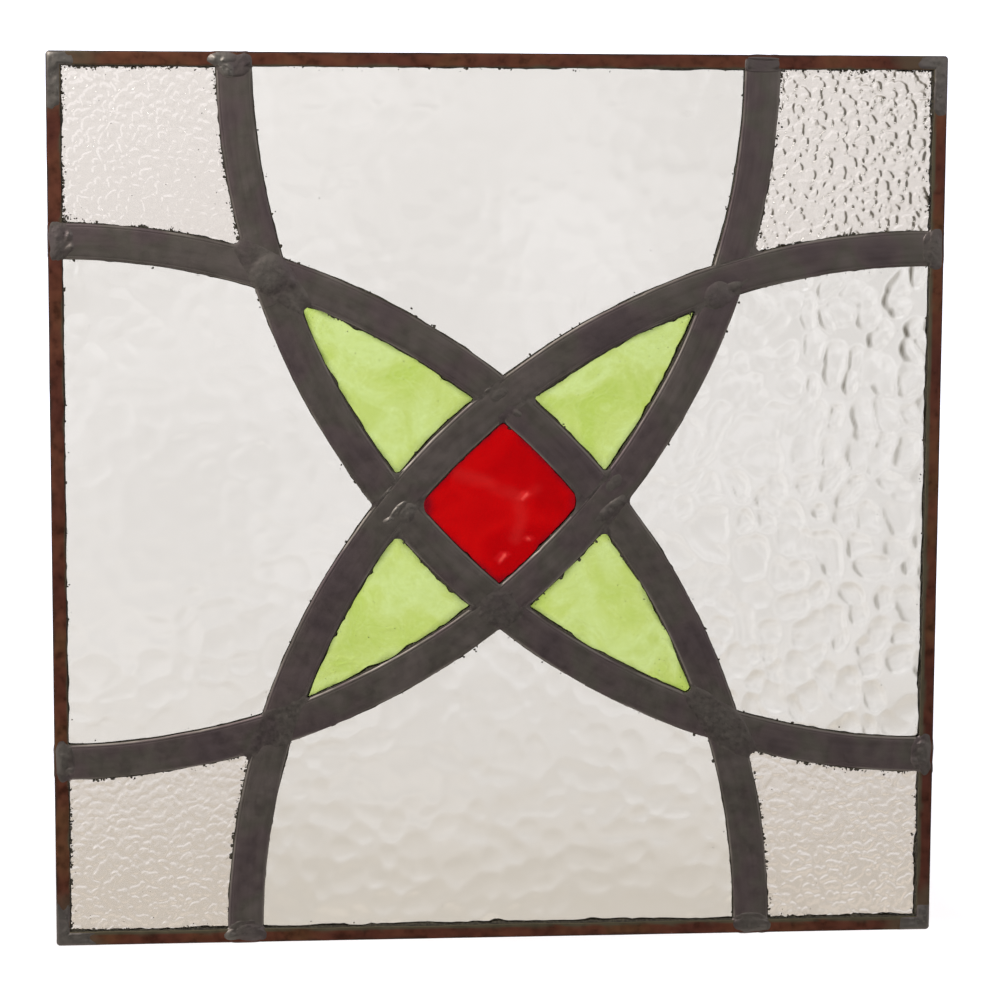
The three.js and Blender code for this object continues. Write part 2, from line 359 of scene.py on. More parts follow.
def finish_material(material, sockets, grain=None, bump=(0.0, 0.0)):
    """Gives a material its shader. `grain` is a noise that dents it by `bump`, (strength, depth in mm)."""
    if grain is not None:
        dents = add_node(material, "Bump", {"Height": grain, "Strength": bump[0], "Distance": bump[1] * MM})
        sockets["Normal"] = dents.outputs["Normal"]
    shader = add_node(material, "BsdfPrincipled", sockets)
    add_node(material, "OutputMaterial", {"Surface": shader.outputs["BSDF"]})
    return material


GLASS_SHADER = {"IOR": 1.52, "Transmission Weight": 1.0}      # soda-lime glass


def clear_glass(name, tint):
    """Rolled soda-lime glass: fire-polished and see-through, a trace warm from iron and old grime."""
    material, _ = new_material(name)
    return finish_material(material, {"Base Color": linear(tint), "Roughness": 0.03, **GLASS_SHADER})


def green_glass():
    """Yellow-green cathedral glass: clear to the eye, clouded by paler wisps, and dark at the metal, partly
    with old cement and partly as painted shade. Each pane's `shade` is 1 under the metal and fades to 0
    within a few millimetres."""
    material, where = new_material("green cathedral glass")
    clouds, tint = mottle(material, where, 26, (
        (0.36, "#a6b854"), (0.47, "#b0be65"), (0.56, "#b7c678"), (0.66, "#adbc61")),
        {"Detail": 4.0, "Roughness": 0.55, "Distortion": 0.6})
    _, thread = mottle(material, where, 13, ((0.45, "#000000"), (0.5, "#828282"), (0.525, "#000000")),
                       {"Detail": 3.0, "Roughness": 0.5, "Distortion": 2.2})
    wisped = add_node(material, "Mix", {0: thread, 6: tint, 7: linear("#c9d69a")}, data_type="RGBA")
    dull = add_node(material, "MapRange", {
        "Value": clouds, "From Min": 0.4, "From Max": 0.7, "To Min": 0.06, "To Max": 0.22})
    peel = add_node(material, "TexNoise", {"Vector": where, "Scale": per_mm(1.5), "Detail": 2.0})
    return finish_material(material, {
        # painted shade, partly old cement, darkens the glass near the metal
        "Base Color": stain(material, "shade", wisped.outputs[2], "#4d5a22"),
        "Roughness": dull.outputs["Result"],
        **GLASS_SHADER,
    }, peel.outputs["Fac"], (0.2, 0.2))


def red_glass():
    """Ruby glass: deep red all through, with painted highlights laid over it as broad soft pale streaks and
    small glints, and purplish and dark close to the metal, as painted shade, by the pane's `shade`."""
    material, where = new_material("ruby glass")
    _, tint = mottle(material, where, 34, (
        (0.34, "#9b0306"), (0.46, "#a50306"), (0.54, "#ae0708"), (0.64, "#a30306")),
        {"Detail": 2.0, "Roughness": 0.45, "Distortion": 0.9})
    # painted highlights: pale red streaks and glints over the ruby
    highlighted = stain(material, "painted_highlight", tint, "#d4443c")
    peel = add_node(material, "TexNoise", {"Vector": where, "Scale": per_mm(4), "Detail": 2.0})
    return finish_material(material, {
        "Base Color": stain(material, "shade", highlighted, "#3d0c16"),
        "Roughness": 0.05,
        **GLASS_SHADER,
    }, peel.outputs["Fac"], (0.15, 0.3))


def old_lead():
    """Drawn lead came, years old: a thin grey oxide over soft metal, satin, brown in one place and
    greenish in another. Faint streaks follow the way it was drawn, by the came's `along` and `across`,
    and its edges are lighter in patches, partly rubbed wear and partly a painted highlight on the rolled
    edge."""
    material, where = new_material("oxidised lead")
    _, tone = mottle(material, where, 30, (
        (0.36, "#5c5153"), (0.46, "#635858"), (0.54, "#605b55"), (0.64, "#69615e")),
        {"Detail": 2.0, "Roughness": 0.5})
    along = add_node(material, "Attribute", attribute_name="along")
    across = add_node(material, "Attribute", attribute_name="across")
    drawn = add_node(material, "CombineXYZ", {"X": along.outputs["Fac"], "Y": across.outputs["Fac"]})
    streaks = add_node(material, "TexNoise", {"Vector": drawn.outputs[0], "Scale": 1.0, "Detail": 3.0})
    streak_tone = add_node(material, "ValToRGB", {"Fac": streaks.outputs["Fac"]}, stops=(
        (0.3, "#eeeceb"), (0.5, "#f8f8f7"), (0.7, "#ffffff")))
    body = add_node(material, "Mix", {0: 1.0, 6: tone, 7: streak_tone.outputs["Color"]},
                    data_type="RGBA", blend_type="MULTIPLY")
    film = add_node(material, "TexNoise", {"Vector": where, "Scale": per_mm(5), "Detail": 3.0})
    dull = add_node(material, "MapRange", {
        "Value": film.outputs["Fac"], "From Min": 0.3, "From Max": 0.7, "To Min": 0.42, "To Max": 0.56})
    return finish_material(material, {
        # edges painted lighter: rubbed wear and a painted highlight on the rolled edge
        "Base Color": stain(material, "worn", body.outputs[2], "#7c756f"),
        "Metallic": 0.85,
        "Roughness": dull.outputs["Result"],
    }, film.outputs["Fac"], (0.2, 0.4))


def old_copper():
    """Rolled copper channel, dulled to red-brown with olive and orange patches. Its rounded outer edges
    are darker by an attribute of their own, a painted dark reflection, and grey-green cement is smeared
    over the inner lip, by `grime`."""
    material, where = new_material("tarnished copper")
    _, tone = mottle(material, where, 38, (
        (0.36, "#5a3128"), (0.46, "#63382b"), (0.56, "#6a3f2e"), (0.66, "#69462f")),
        {"Detail": 3.0, "Roughness": 0.5})
    grain, spots = mottle(material, where, 4.5, ((0.3, "#cdc9c6"), (0.42, "#f0eeed"), (0.6, "#ffffff")),
                          {"Detail": 4.0, "Roughness": 0.55})
    body = add_node(material, "Mix", {0: 1.0, 6: tone, 7: spots}, data_type="RGBA", blend_type="MULTIPLY")
    # painted dark reflection on the rounded outer edges
    with_edge_reflection = stain(material, "arris", body.outputs[2], "#38261f")
    dull = add_node(material, "MapRange", {
        "Value": grain, "From Min": 0.3, "From Max": 0.7, "To Min": 0.36, "To Max": 0.56})
    return finish_material(material, {
        "Base Color": stain(material, "grime", with_edge_reflection, "#5c5544"),
        "Metallic": 0.8,
        "Roughness": dull.outputs["Result"],
    }, grain, (0.2, 0.3))


def old_solder():
    """Tin-lead solder, laid on molten: the lead's own grey where it is thin, paler and greener where it
    stands thick, with small flecks of bright tin, by each joint's `pale`."""
    material, where = new_material("aged solder")
    _, tone = mottle(material, where, 14, ((0.36, "#5e5454"), (0.5, "#625b57"), (0.62, "#68625d")),
                     {"Detail": 2.0, "Roughness": 0.5})
    pale = add_node(material, "Attribute", attribute_name="pale").outputs["Fac"]
    grain = add_node(material, "TexNoise", {"Vector": where, "Scale": per_mm(2), "Detail": 3.0})
    fleck = add_node(material, "MapRange", {
        "Value": grain.outputs["Fac"], "From Min": 0.62, "From Max": 0.74, "To Min": 0.0, "To Max": 1.0})
    share = add_node(material, "Math", {0: fleck.outputs["Result"], 1: pale}, operation="MULTIPLY")
    body = add_node(material, "Mix", {0: pale, 6: tone, 7: linear("#73706a")}, data_type="RGBA")
    colour = add_node(material, "Mix", {
        0: share.outputs[0], 6: body.outputs[2], 7: linear("#9a978e")}, data_type="RGBA")
    dull = add_node(material, "MapRange", {
        "Value": grain.outputs["Fac"], "From Min": 0.3, "From Max": 0.7, "To Min": 0.5, "To Max": 0.34})
    return finish_material(material, {
        "Base Color": colour.outputs[2],
        "Metallic": 0.85,
        "Roughness": dull.outputs["Result"],
    }, grain.outputs["Fac"], (0.25, 0.4))


def glazing_cement():
    """Glazing cement: whiting and lamp black in oil, dried to a matt, dark grey-green crumb."""
    material, where = new_material("glazing cement")
    crumb, tone = mottle(material, where, 1.0, ((0.3, "#221e16"), (0.5, "#332e24"), (0.7, "#4b4638")),
                         {"Detail": 4.0})
    return finish_material(material, {"Base Color": tone, "Roughness": 0.85, "IOR": 1.5}, crumb, (0.6, 0.4))


HAMMERED = clear_glass("hammered clear glass", "#cec9bd")
GRANITE = clear_glass("granite clear glass", "#c8c0b3")
GREEN = green_glass()
RED = red_glass()
LEAD = old_lead()
COPPER = old_copper()
SOLDER = old_solder()
CEMENT = glazing_cement()

# ---------------------------------------------------------------- panes

# Each pane's four sides, as the curves or rim edges that they follow: bottom, right, top and left. A side
# may follow two curves in turn, and a petal's bottom is the point where its left and right sides meet.
PANES = {
    "red_centre": (("TL",), ("BL",), ("BR",), ("TR",)),
    "green_upper_left": ((), ("BL",), ("BR",), ("TR",)),
    "green_upper_right": ((), ("TL",), ("BL",), ("BR",)),
    "green_lower_left": ((), ("BR",), ("TR",), ("TL",)),
    "green_lower_right": ((), ("TR",), ("TL",), ("BL",)),
    "hammered_top": (("BL", "BR"), ("TL",), ("top",), ("TR",)),
    "hammered_right": (("TR",), ("right",), ("BR",), ("BL", "TL")),
    "hammered_bottom": (("bottom",), ("BL",), ("TL", "TR"), ("BR",)),
    "hammered_left": (("TL",), ("BR", "TR"), ("BL",), ("left",)),
    "granite_top_left": (("BL",), ("TR",), ("top",), ("left",)),
    "granite_top_right": (("BR",), ("right",), ("top",), ("TL",)),
    "granite_bottom_left": (("bottom",), ("BR",), ("TL",), ("left",)),
    "granite_bottom_right": (("bottom",), ("right",), ("TR",), ("BL",)),
}


def pane_middle(pane):
    """The middle of a pane's CAD box, in the panel's plane."""
    low, high = box_mm(f"pane_{pane}")
    return np.array([low[0] + high[0], low[2] + high[2] - 2 * MIDDLE]) / 2


def boundary(name, middle, margin, rim):
    """The line that a pane's side follows: `margin` off a curve, on the pane's side, or `rim` off an edge."""
    if name in EDGES:
        return edge_line(name, rim)
    centre, radius = circle(name)
    inside = np.hypot(*(middle - centre)) < radius
    return circle(name, -margin if inside else margin)


def pane_sides(pane, margin, rim):
    """A pane's sides, bottom, right, top and left, each a list of (line, start, end, name).

    Bottom and top run left to right, and left and right run bottom to top.
    """
    middle = pane_middle(pane)
    sides = [[(boundary(name, middle, margin, rim), name) for name in side] for side in PANES[pane]]
    bottom, right, top, left = sides
    low_left = meet((bottom or right)[0][0], left[0][0], middle)
    low_right = meet(bottom[-1][0], right[0][0], middle) if bottom else low_left
    high_right = meet(right[-1][0], top[-1][0], middle)
    high_left = meet(top[0][0], left[-1][0], middle)
    ends = ((low_left, low_right), (low_right, high_right), (high_left, high_right), (low_left, high_left))
    routes = []
    for side, (start, end) in zip(sides, ends):
        stops = [start] + [meet(a[0], b[0], middle) for a, b in zip(side, side[1:])] + [end]
        routes.append([(line, stops[k], stops[k + 1], name) for k, (line, name) in enumerate(side)])
    return routes, ends


def side_points(route, ends, count):
    """`count` points along a side, shared evenly between the lines that it follows."""
    if not route:
        return np.repeat(ends[0][None], count, axis=0)
    t = np.linspace(0, len(route), count)
    points = np.zeros((count, 2))
    for k, (line, start, end, _) in enumerate(route):
        here = (t >= k) & (t <= k + 1)
        points[here] = trace(line, start, end, t[here] - k)
    return points


def patch(pane, rows, cols, margin, rim):
    """A Coons patch over the pane: the sum of the two ruled surfaces between facing sides, less the
    bilinear one through the corners. Returns (rows, cols, 2)."""
    routes, ends = pane_sides(pane, margin, rim)
    bottom, top = (side_points(routes[k], ends[k], cols) for k in (0, 2))
    right, left = (side_points(routes[k], ends[k], rows) for k in (1, 3))
    u = np.linspace(0, 1, cols)[None, :, None]
    v = np.linspace(0, 1, rows)[:, None, None]
    ruled = (1 - v) * bottom[None] + v * top[None] + (1 - u) * left[:, None] + u * right[:, None]
    corners = ((1 - u) * (1 - v) * bottom[0] + u * (1 - v) * bottom[-1]
               + (1 - u) * v * top[0] + u * v * top[-1])
    return ruled - corners


# How far a pane's edge is from the middle of a came, and how far in from the panel's edge.
GLASS_EDGE = (CAME_HEART / 2 + GLASS_PLAY, CHANNEL_WALL + GLASS_PLAY)

BACK_STEP = 4       # the back of a pane has one point for every 4 x 4 on the front
BACK_WAVE = 0.06    # and is this uneven, in mm


def pane_size(pane, cell):
    """Rows and columns for cells about `cell` mm, one more than a whole number of back steps."""
    routes, ends = pane_sides(pane, *GLASS_EDGE)
    lengths = [np.hypot(*np.diff(side_points(r, e, 65), axis=0).T).sum() for r, e in zip(routes, ends)]
    along = max(lengths[1], lengths[3])
    across = max(lengths[0], lengths[2])
    return [2 * BACK_STEP * math.ceil(length / cell / (2 * BACK_STEP)) + 1 for length in (along, across)]


def make_pane(pane, cell, relief, numbers, material, slot):
    """One pane: its front carries relief(x, y, *numbers), its back is nearly flat, and a wall joins them."""
    rows, cols = pane_size(pane, cell)
    x, y = np.moveaxis(patch(pane, rows, cols, *GLASS_EDGE), -1, 0)
    front = np.stack([x, y, GLASS + relief(x, y, *numbers)], axis=-1)
    far_x, far_y = x[::BACK_STEP, ::BACK_STEP], y[::BACK_STEP, ::BACK_STEP]
    back = np.stack([far_x, far_y, -GLASS - BACK_WAVE * noise(far_x, far_y, 18, 5)], axis=-1)
    start = rows * cols
    near_ring = border(rows, cols)
    far_ring = start + border(*far_x.shape)
    k = np.arange(len(near_ring))
    fans = np.stack([near_ring, np.roll(near_ring, -1), far_ring[k // BACK_STEP]], axis=-1)
    gaps = np.stack([np.roll(near_ring, -BACK_STEP)[::BACK_STEP], np.roll(far_ring, -1), far_ring], axis=-1)
    faces = [grid(rows, cols), grid(*far_x.shape, start)[:, ::-1], fans[:, ::-1], gaps[:, ::-1]]
    points = np.concatenate([front.reshape(-1, 3), back.reshape(-1, 3)])
    # the `shade` mark is painted shade near the metal, partly grime
    marks = {"shade": lambda x, y: edge_shade(pane, x, y), "painted_highlight": painted_ruby_highlights}
    # the ruby's second mark is painted highlights: soft streaks and small glints
    attributes = {label: np.concatenate([mark(x, y).ravel(), mark(far_x, far_y).ravel()])
                  for label, mark in marks.items()}
    piece = make_piece(f"glass_{pane}", points, facing_out(points, faces), material, slot,
                       [f"pane_{pane}"], attributes)
    if not PANES[pane][0]:
        merge_pole(piece)


def edge_shade(pane, x, y):
    """Painted shade, with some grime, by how near a point is to the metal round its pane:
    (1 - distance / fade)^1.5, with a fade of 2.2 mm, more or less by noise. The ruby pane also has painted
    shade in its left and right corners."""
    middle = pane_middle(pane)
    nearest = np.full(x.shape, 99.0)
    for name in {name for side in PANES[pane] for name in side}:
        line = boundary(name, middle, CAME_FACE / 2, CHANNEL_FACE)
        if is_line(line):
            away = np.abs((x, y)[line[0]] - line[1])
        else:
            away = np.abs(np.hypot(x - line[0][0], y - line[0][1]) - line[1])
        nearest = np.minimum(nearest, away)
    fade = 2.2 * (1 + 0.5 * noise(x, y, 6, 12))
    shade = np.clip(1 - nearest / fade, 0, 1) ** 1.5
    # painted shade in the ruby pane's corners beside the left and right crossings
    if pane == "red_centre":
        for corner, strength in (("left", 0.7), ("right", 0.42)):
            away = np.hypot(x - CROSSINGS[corner][0], y - CROSSINGS[corner][1])
            shade = np.maximum(shade, strength * smooth_step(18.5, 14.0, away))
    return shade


# Painted highlights on the ruby glass, broad soft streaks and small glints: the points of a line, its half
# width, and how much it shows.
RUBY_HIGHLIGHTS = (
    ((-20.0, 13.5), (-6.0, 8.5), (9.0, 2.0), 5.0, 0.12),
    ((9.0, 2.0), (9.2, -8.0), (7.0, -17.0), 4.6, 0.12),
    ((9.0, 2.0), (17.0, 6.5), 4.5, 0.06),
    ((10.4, 1.6), (12.2, 3.8), 0.95, 1.5),
    ((-0.2, -27.6), (2.2, -24.2), 0.95, 1.4),
    ((12.6, -16.4), (13.6, -17.0), 0.8, 0.8),
)


def painted_ruby_highlights(x, y):
    """Painted highlights on the ruby glass: (1 - (distance to a line / half width)^2)^2, softened by noise.
    """
    total = np.zeros(x.shape)
    for *stops, width, strength in RUBY_HIGHLIGHTS:
        for (ax, ay), (bx, by) in zip(stops, stops[1:]):
            run_x, run_y = bx - ax, by - ay
            t = np.clip(((x - ax) * run_x + (y - ay) * run_y) / (run_x ** 2 + run_y ** 2), 0, 1)
            off_x = x - ax - t * run_x + 0.2 * width * noise(x, y, 7, 33)
            off_y = y - ay - t * run_y + 0.2 * width * noise(x, y, 7, 34)
            here = np.clip(1 - (off_x ** 2 + off_y ** 2) / width ** 2, 0, 1) ** 2
            total = np.maximum(total, strength * here * (0.85 + 0.3 * noise(x, y, 6, 31)))
    return total


def border(rows, cols):
    """Indices once round the rim of a rows x cols block, starting along its first row."""
    index = np.arange(rows * cols).reshape(rows, cols)
    return np.concatenate([index[0, :-1], index[:-1, -1], index[-1, :0:-1], index[:0:-1, 0]])


def merge_pole(piece):
    """Joins the points that a petal's patch leaves on top of each other at its tip."""
    made = bmesh.new()
    made.from_mesh(piece.data)
    bmesh.ops.remove_doubles(made, verts=made.verts, dist=1e-7)
    made.to_mesh(piece.data)
    made.free()


def hammered(x, y, seed, depth, size, height):
    """Hammered relief: domes `size` mm wide and `height` times as tall that meet in narrow valleys. With q
    the square of the distance from a dome's middle, as a share of its size, it falls by
    depth (0.7 q + 0.3 q^2), and noise bends the domes' outlines."""
    warp = 3.4 * noise(x, y, 15, seed + 7) + 0.7 * noise(x, y, 5, seed + 4)
    turn = 3.4 * noise(x, y, 17, seed + 8) + 0.7 * noise(x, y, 5, seed + 6)
    q = np.clip(pits(x + warp, (y + turn) / height, size, seed, 44, 0.92) / 0.25, 0, 1.25)
    strength = 0.85 + 0.35 * noise(x, y, 38, seed + 9)
    fall = depth * strength * (0.7 * q + 0.3 * q * q - 0.45)
    return np.clip(0.03 * noise(x, y, 7, seed + 5) - fall, -0.7, 0.36)


def granite(x, y, seed, depth, size):
    """Stippled relief: flat-bottomed pits about `size` mm long with steep sides, between worm-like ridges,
    and smaller pits strewn over them."""
    warp = 1.7 * noise(x, y, 4.6, seed + 3)
    turn = 1.7 * noise(x, y, 5.2, seed + 4)
    wide = smooth_step(0.09, 0.24, pits(x + warp, y + turn, size, seed, 30, 0.95))
    small = smooth_step(0.03, 0.16, pits(x - turn, y + warp, 2.3, seed + 11, 24, 0.95))
    mask = smooth_step(-0.2, 0.3, noise(x, y, 5.5, seed + 6))
    return depth * (0.8 * wide + 0.4 * mask * (small - 1) + 0.1 * noise(x, y, 1.7, seed + 5) - 0.3)


def rippled(x, y, seed, depth):
    """Cathedral relief: gentle swells crossed by fine crooked furrows where |noise| is near zero."""
    lines = np.abs(fractal(x, y, 17, seed))
    furrows = -smooth_step(0.075, 0.0, lines) * smooth_step(-0.2, 0.3, noise(x, y, 11, seed + 8))
    return depth * (0.9 * noise(x, y, 12, seed + 5) + furrows)


def swells(x, y, seed, depth):
    """Slow waves about 25 mm long, folded where |noise| is near zero into soft creases."""
    return depth * (np.abs(noise(x, y, 24, seed)) + 0.4 * noise(x, y, 13, seed + 1))


# The hammer marks of each pane: mesh cell, depth, width, and height over width.
HAMMER_MARKS = (
    ("top", 1.4, 0.2, 11.5, 1.0),
    ("right", 0.95, 0.78, 9.6, 1.3),
    ("bottom", 1.1, 0.24, 11.5, 1.0),
    ("left", 1.2, 0.25, 11.5, 1.0),
)

# The stipple of each corner's pane: depth and size.
STIPPLE = (
    ("top_left", 0.31, 3.7),
    ("top_right", 0.7, 4.5),
    ("bottom_left", 0.28, 3.9),
    ("bottom_right", 0.34, 4.1),
)


def make_panes():
    """Every sheet of glass, with its own relief and with mesh cells to suit."""
    for index, (side, cell, *marks) in enumerate(HAMMER_MARKS):
        make_pane(f"hammered_{side}", cell, hammered, (20 + index, *marks), HAMMERED, "hammered_glass")
    for index, (corner, *marks) in enumerate(STIPPLE):
        make_pane(f"granite_{corner}", 0.58, granite, (40 + index, *marks), GRANITE, "granite_glass")
    for index, petal in enumerate(("upper_left", "upper_right", "lower_left", "lower_right")):
        make_pane(f"green_{petal}", 1.0, rippled, (60 + index, 0.2), GREEN, "green_glass")
    make_pane("red_centre", 0.65, swells, (80, 0.3), RED, "red_glass")


# ---------------------------------------------------------------- lead cames

# Each length of came: its curve, and where its two ends stop: ("rim", edge), ("butt", curve, crossing)
# against another came's side, or ("past", crossing, distance) beyond a crossing.
CAMES = {
    "bottom_right": ("BR", ("rim", "right"), ("rim", "bottom")),
    "top_left_to_left_rim": ("TL", ("rim", "left"), ("butt", "BR", "lower_left")),
    "top_left_middle": ("TL", ("butt", "BR", "lower_left"), ("butt", "BR", "upper_right")),
    "top_left_to_top_rim": ("TL", ("butt", "BR", "upper_right"), ("rim", "top")),
    "top_right_to_top_rim": ("TR", ("rim", "top"), ("past", "upper_left", 14.0)),
    "top_right_upper_petal": ("TR", ("past", "upper_left", 14.06), ("butt", "BR", "left")),
    "top_right_centre": ("TR", ("butt", "BR", "left"), ("butt", "TL", "bottom")),
    "top_right_lower_petal": ("TR", ("butt", "TL", "bottom"), ("butt", "BL", "lower_right")),
    "top_right_to_right_rim": ("TR", ("butt", "BL", "lower_right"), ("rim", "right")),
    "bottom_left_to_sill": ("BL", ("rim", "bottom"), ("butt", "TL", "right")),
    "bottom_left_centre": ("BL", ("butt", "TL", "right"), ("butt", "BR", "top")),
    "bottom_left_upper_petal": ("BL", ("butt", "BR", "top"), ("butt", "TR", "upper_left")),
    "bottom_left_to_left_rim": ("BL", ("butt", "TR", "upper_left"), ("rim", "left")),
}

CAME_STEP = 1.75      # along a came, mm between its rings


def end_point(curve, end):
    """Roughly where a came's centre line ends."""
    if end[0] == "rim":
        axis, side = EDGES[end[1]]
        near = CURVES[curve]["centre"] * -1.0
        near[axis] = side * HALF
        return meet(circle(curve), edge_line(end[1], CHANNEL_FACE), near)
    return CROSSINGS[end[1] if end[0] == "past" else end[2]]


def angle_of(curve, point):
    """Angle of a point about a curve's centre, counted from the curve's middle."""
    spoke = point - CURVES[curve]["centre"]
    middle = -np.array(CURVES[curve]["corner"], float)
    cross = middle[0] * spoke[1] - middle[1] * spoke[0]
    return math.atan2(cross, middle @ spoke)


def on_curve(curve, angle, outside):
    """Points beside a curve: c + (R + s)(cos a, sin a), for arrays of the angle a, counted from the
    curve's middle, and of s, the distance outside it."""
    centre, radius = circle(curve)
    middle = -np.array(CURVES[curve]["corner"], float)
    turned = angle + math.atan2(middle[1], middle[0])
    reach = radius + outside
    return centre + np.stack([reach * np.cos(turned), reach * np.sin(turned)], axis=-1)


def end_angles(curve, end, other_point, across):
    """The angle at which each line of a came ends: where the circle `across` mm off its curve meets the
    channel's lip, or the side of the came that it butts, or a straight cut."""
    if end[0] == "past":
        toward = angle_of(curve, CROSSINGS["left"])
        here = angle_of(curve, CROSSINGS[end[1]])
        return np.full(len(across), here + np.sign(toward - here) * end[2] / CURVES[curve]["radius"])
    rough = end_point(curve, end)
    if end[0] == "rim":
        cut = edge_line(end[1], CHANNEL_FACE)
    else:
        centre, radius = circle(end[1])
        outside = np.hypot(*(other_point - centre)) > radius
        cut = circle(end[1], CAME_FACE / 2 if outside else -CAME_FACE / 2)
    return np.array([angle_of(curve, meet(circle(curve, s), cut, rough)) for s in across])


def came_section():
    """The came's closed section as (across, depth): the front leaf from its right side over a crowned
    face, with a bevel and a drawn line by each edge, to its left side, then the back, turned round."""
    half = CAME_FACE / 2
    slot = FACE - CAME_LEAF
    roll = np.radians(np.arange(-60, 61, 30))
    edge = np.stack([half - 0.3 + 0.3 * np.cos(roll), slot + 0.28 + 0.26 * np.sin(roll)], axis=-1)
    bevel = np.array([[half - 0.34, slot + 0.6], [half - 0.62, slot + 0.74], [half - 1.15, slot + 0.8],
                      [half - 1.45, slot + 0.72], [half - 1.7, slot + 0.8]])
    crown_at = np.array([6.0, 4.8, 3.6, 2.4, 1.2])
    crown = np.stack([crown_at, FACE - 0.12 * (crown_at / half) ** 2], axis=-1)
    right = np.concatenate([[[CAME_HEART / 2, slot]], [[half - 1.0, slot]], edge, bevel, crown])
    front = np.concatenate([right, [[0.0, FACE]], right[::-1] * [-1, 1]])
    return np.concatenate([front, -front])


def came_rings(curve, start, end, seed):
    """Rings of a came's section, along its curve. Both edges wander by about 0.3 mm and are nicked here
    and there, and the faces dip and rise a little, as a worked came's do. Also gives its attributes: a
    mark near the edges for wear and a painted highlight, and `along` and `across` in the widths of the
    streaks."""
    across, depth = came_section().T
    middle = (end_point(curve, start) + end_point(curve, end)) / 2
    first = end_angles(curve, start, middle, across)
    last = end_angles(curve, end, middle, across)
    radius = CURVES[curve]["radius"]
    count = max(8, math.ceil(abs(last - first).max() * radius / CAME_STEP))
    angle = first + (last - first) * np.linspace(0, 1, count)[:, None]
    run = angle * radius
    side = np.sign(across)
    wander = 0.3 * noise(run, side * 40 + seed, 27, seed) + 0.07 * noise(run, side * 40, 7, seed + 1)
    nicks = 0.3 * smooth_step(0.55, 0.9, noise(run, side * 30, 3.5, seed + 5))
    dents = 0.09 * noise(run, across, 11, seed + 2) + 0.04 * noise(run, across, 3.5, seed + 3)
    face = np.abs(depth) > FACE - CAME_LEAF + 0.3
    s = across + side * (np.abs(across) / (CAME_FACE / 2)) ** 3 * (wander - nicks)
    d = depth + np.sign(depth) * face * (dents - 0.1)
    # patches where the edges are painted lighter, for wear and a painted highlight
    rubbed_and_lit = smooth_step(-0.25, 0.35, noise(run, side * 50, 14, seed + 6))
    worn = smooth_step(7.0, 7.7, np.abs(across)) * rubbed_and_lit
    rings = np.concatenate([on_curve(curve, angle, s), d[..., None]], axis=-1)
    return rings, {"worn": worn, "along": run / 22 + seed, "across": s / 2.6}


def make_cames():
    """Every length of came, each swept along its own curve."""
    for index, (name, (curve, start, end)) in enumerate(CAMES.items()):
        rings, attributes = came_rings(curve, start, end, 100 + 7 * index)
        make_piece(f"lead_{name}", *swept(rings), LEAD, "lead", [f"came_{name}"], attributes)


# ---------------------------------------------------------------- copper channel

CORNER_ROUND = 1.8      # radius of the panel's outer corners


def rounded_corner(x, y):
    """Rounds the square's four outer corners: within CORNER_ROUND of both edges, the square ring that a
    point is on becomes a quarter circle."""
    flat = HALF - CORNER_ROUND
    over_x = np.abs(x) - flat
    over_y = np.abs(y) - flat
    inside = (over_x > 0) & (over_y > 0)
    far = np.where(inside, np.hypot(over_x, over_y), 1)
    pull = np.where(inside, np.maximum(over_x, over_y) / far, 1)
    return (np.where(inside, np.sign(x) * (flat + over_x * pull), x),
            np.where(inside, np.sign(y) * (flat + over_y * pull), y))


def channel_section():
    """The channel's closed section as (in from the edge, depth): a U with rounded outer corners."""
    slot = FACE - CHANNEL_WALL
    round_by = 0.8
    turn = np.radians(np.arange(0, 91, 15))
    corner = np.stack([round_by * (1 - np.sin(turn)), FACE - round_by * (1 - np.cos(turn))], axis=-1)[::-1]
    face = [[inwards, FACE] for inwards in (2.0, 3.2, 4.4, 5.4)]
    lip = [[CHANNEL_FACE - 0.25, FACE], [CHANNEL_FACE - 0.06, FACE - 0.07], [CHANNEL_FACE, FACE - 0.25],
           [CHANNEL_FACE, slot], [CHANNEL_WALL, slot]]
    half = np.concatenate([[[0.0, 0.0], [0.0, 1.1]], corner, face, lip])
    return np.concatenate([half, half[::-1] * [1, -1]])


# Cement smeared over the lip, for each length in turn round the panel: where it starts and where it
# covers, in mm from the panel's edge.
GRIME = (("bottom", 4.3, 5.6), ("right", 4.4, 5.6), ("top", 5.6, 6.8), ("left", 5.6, 6.8))


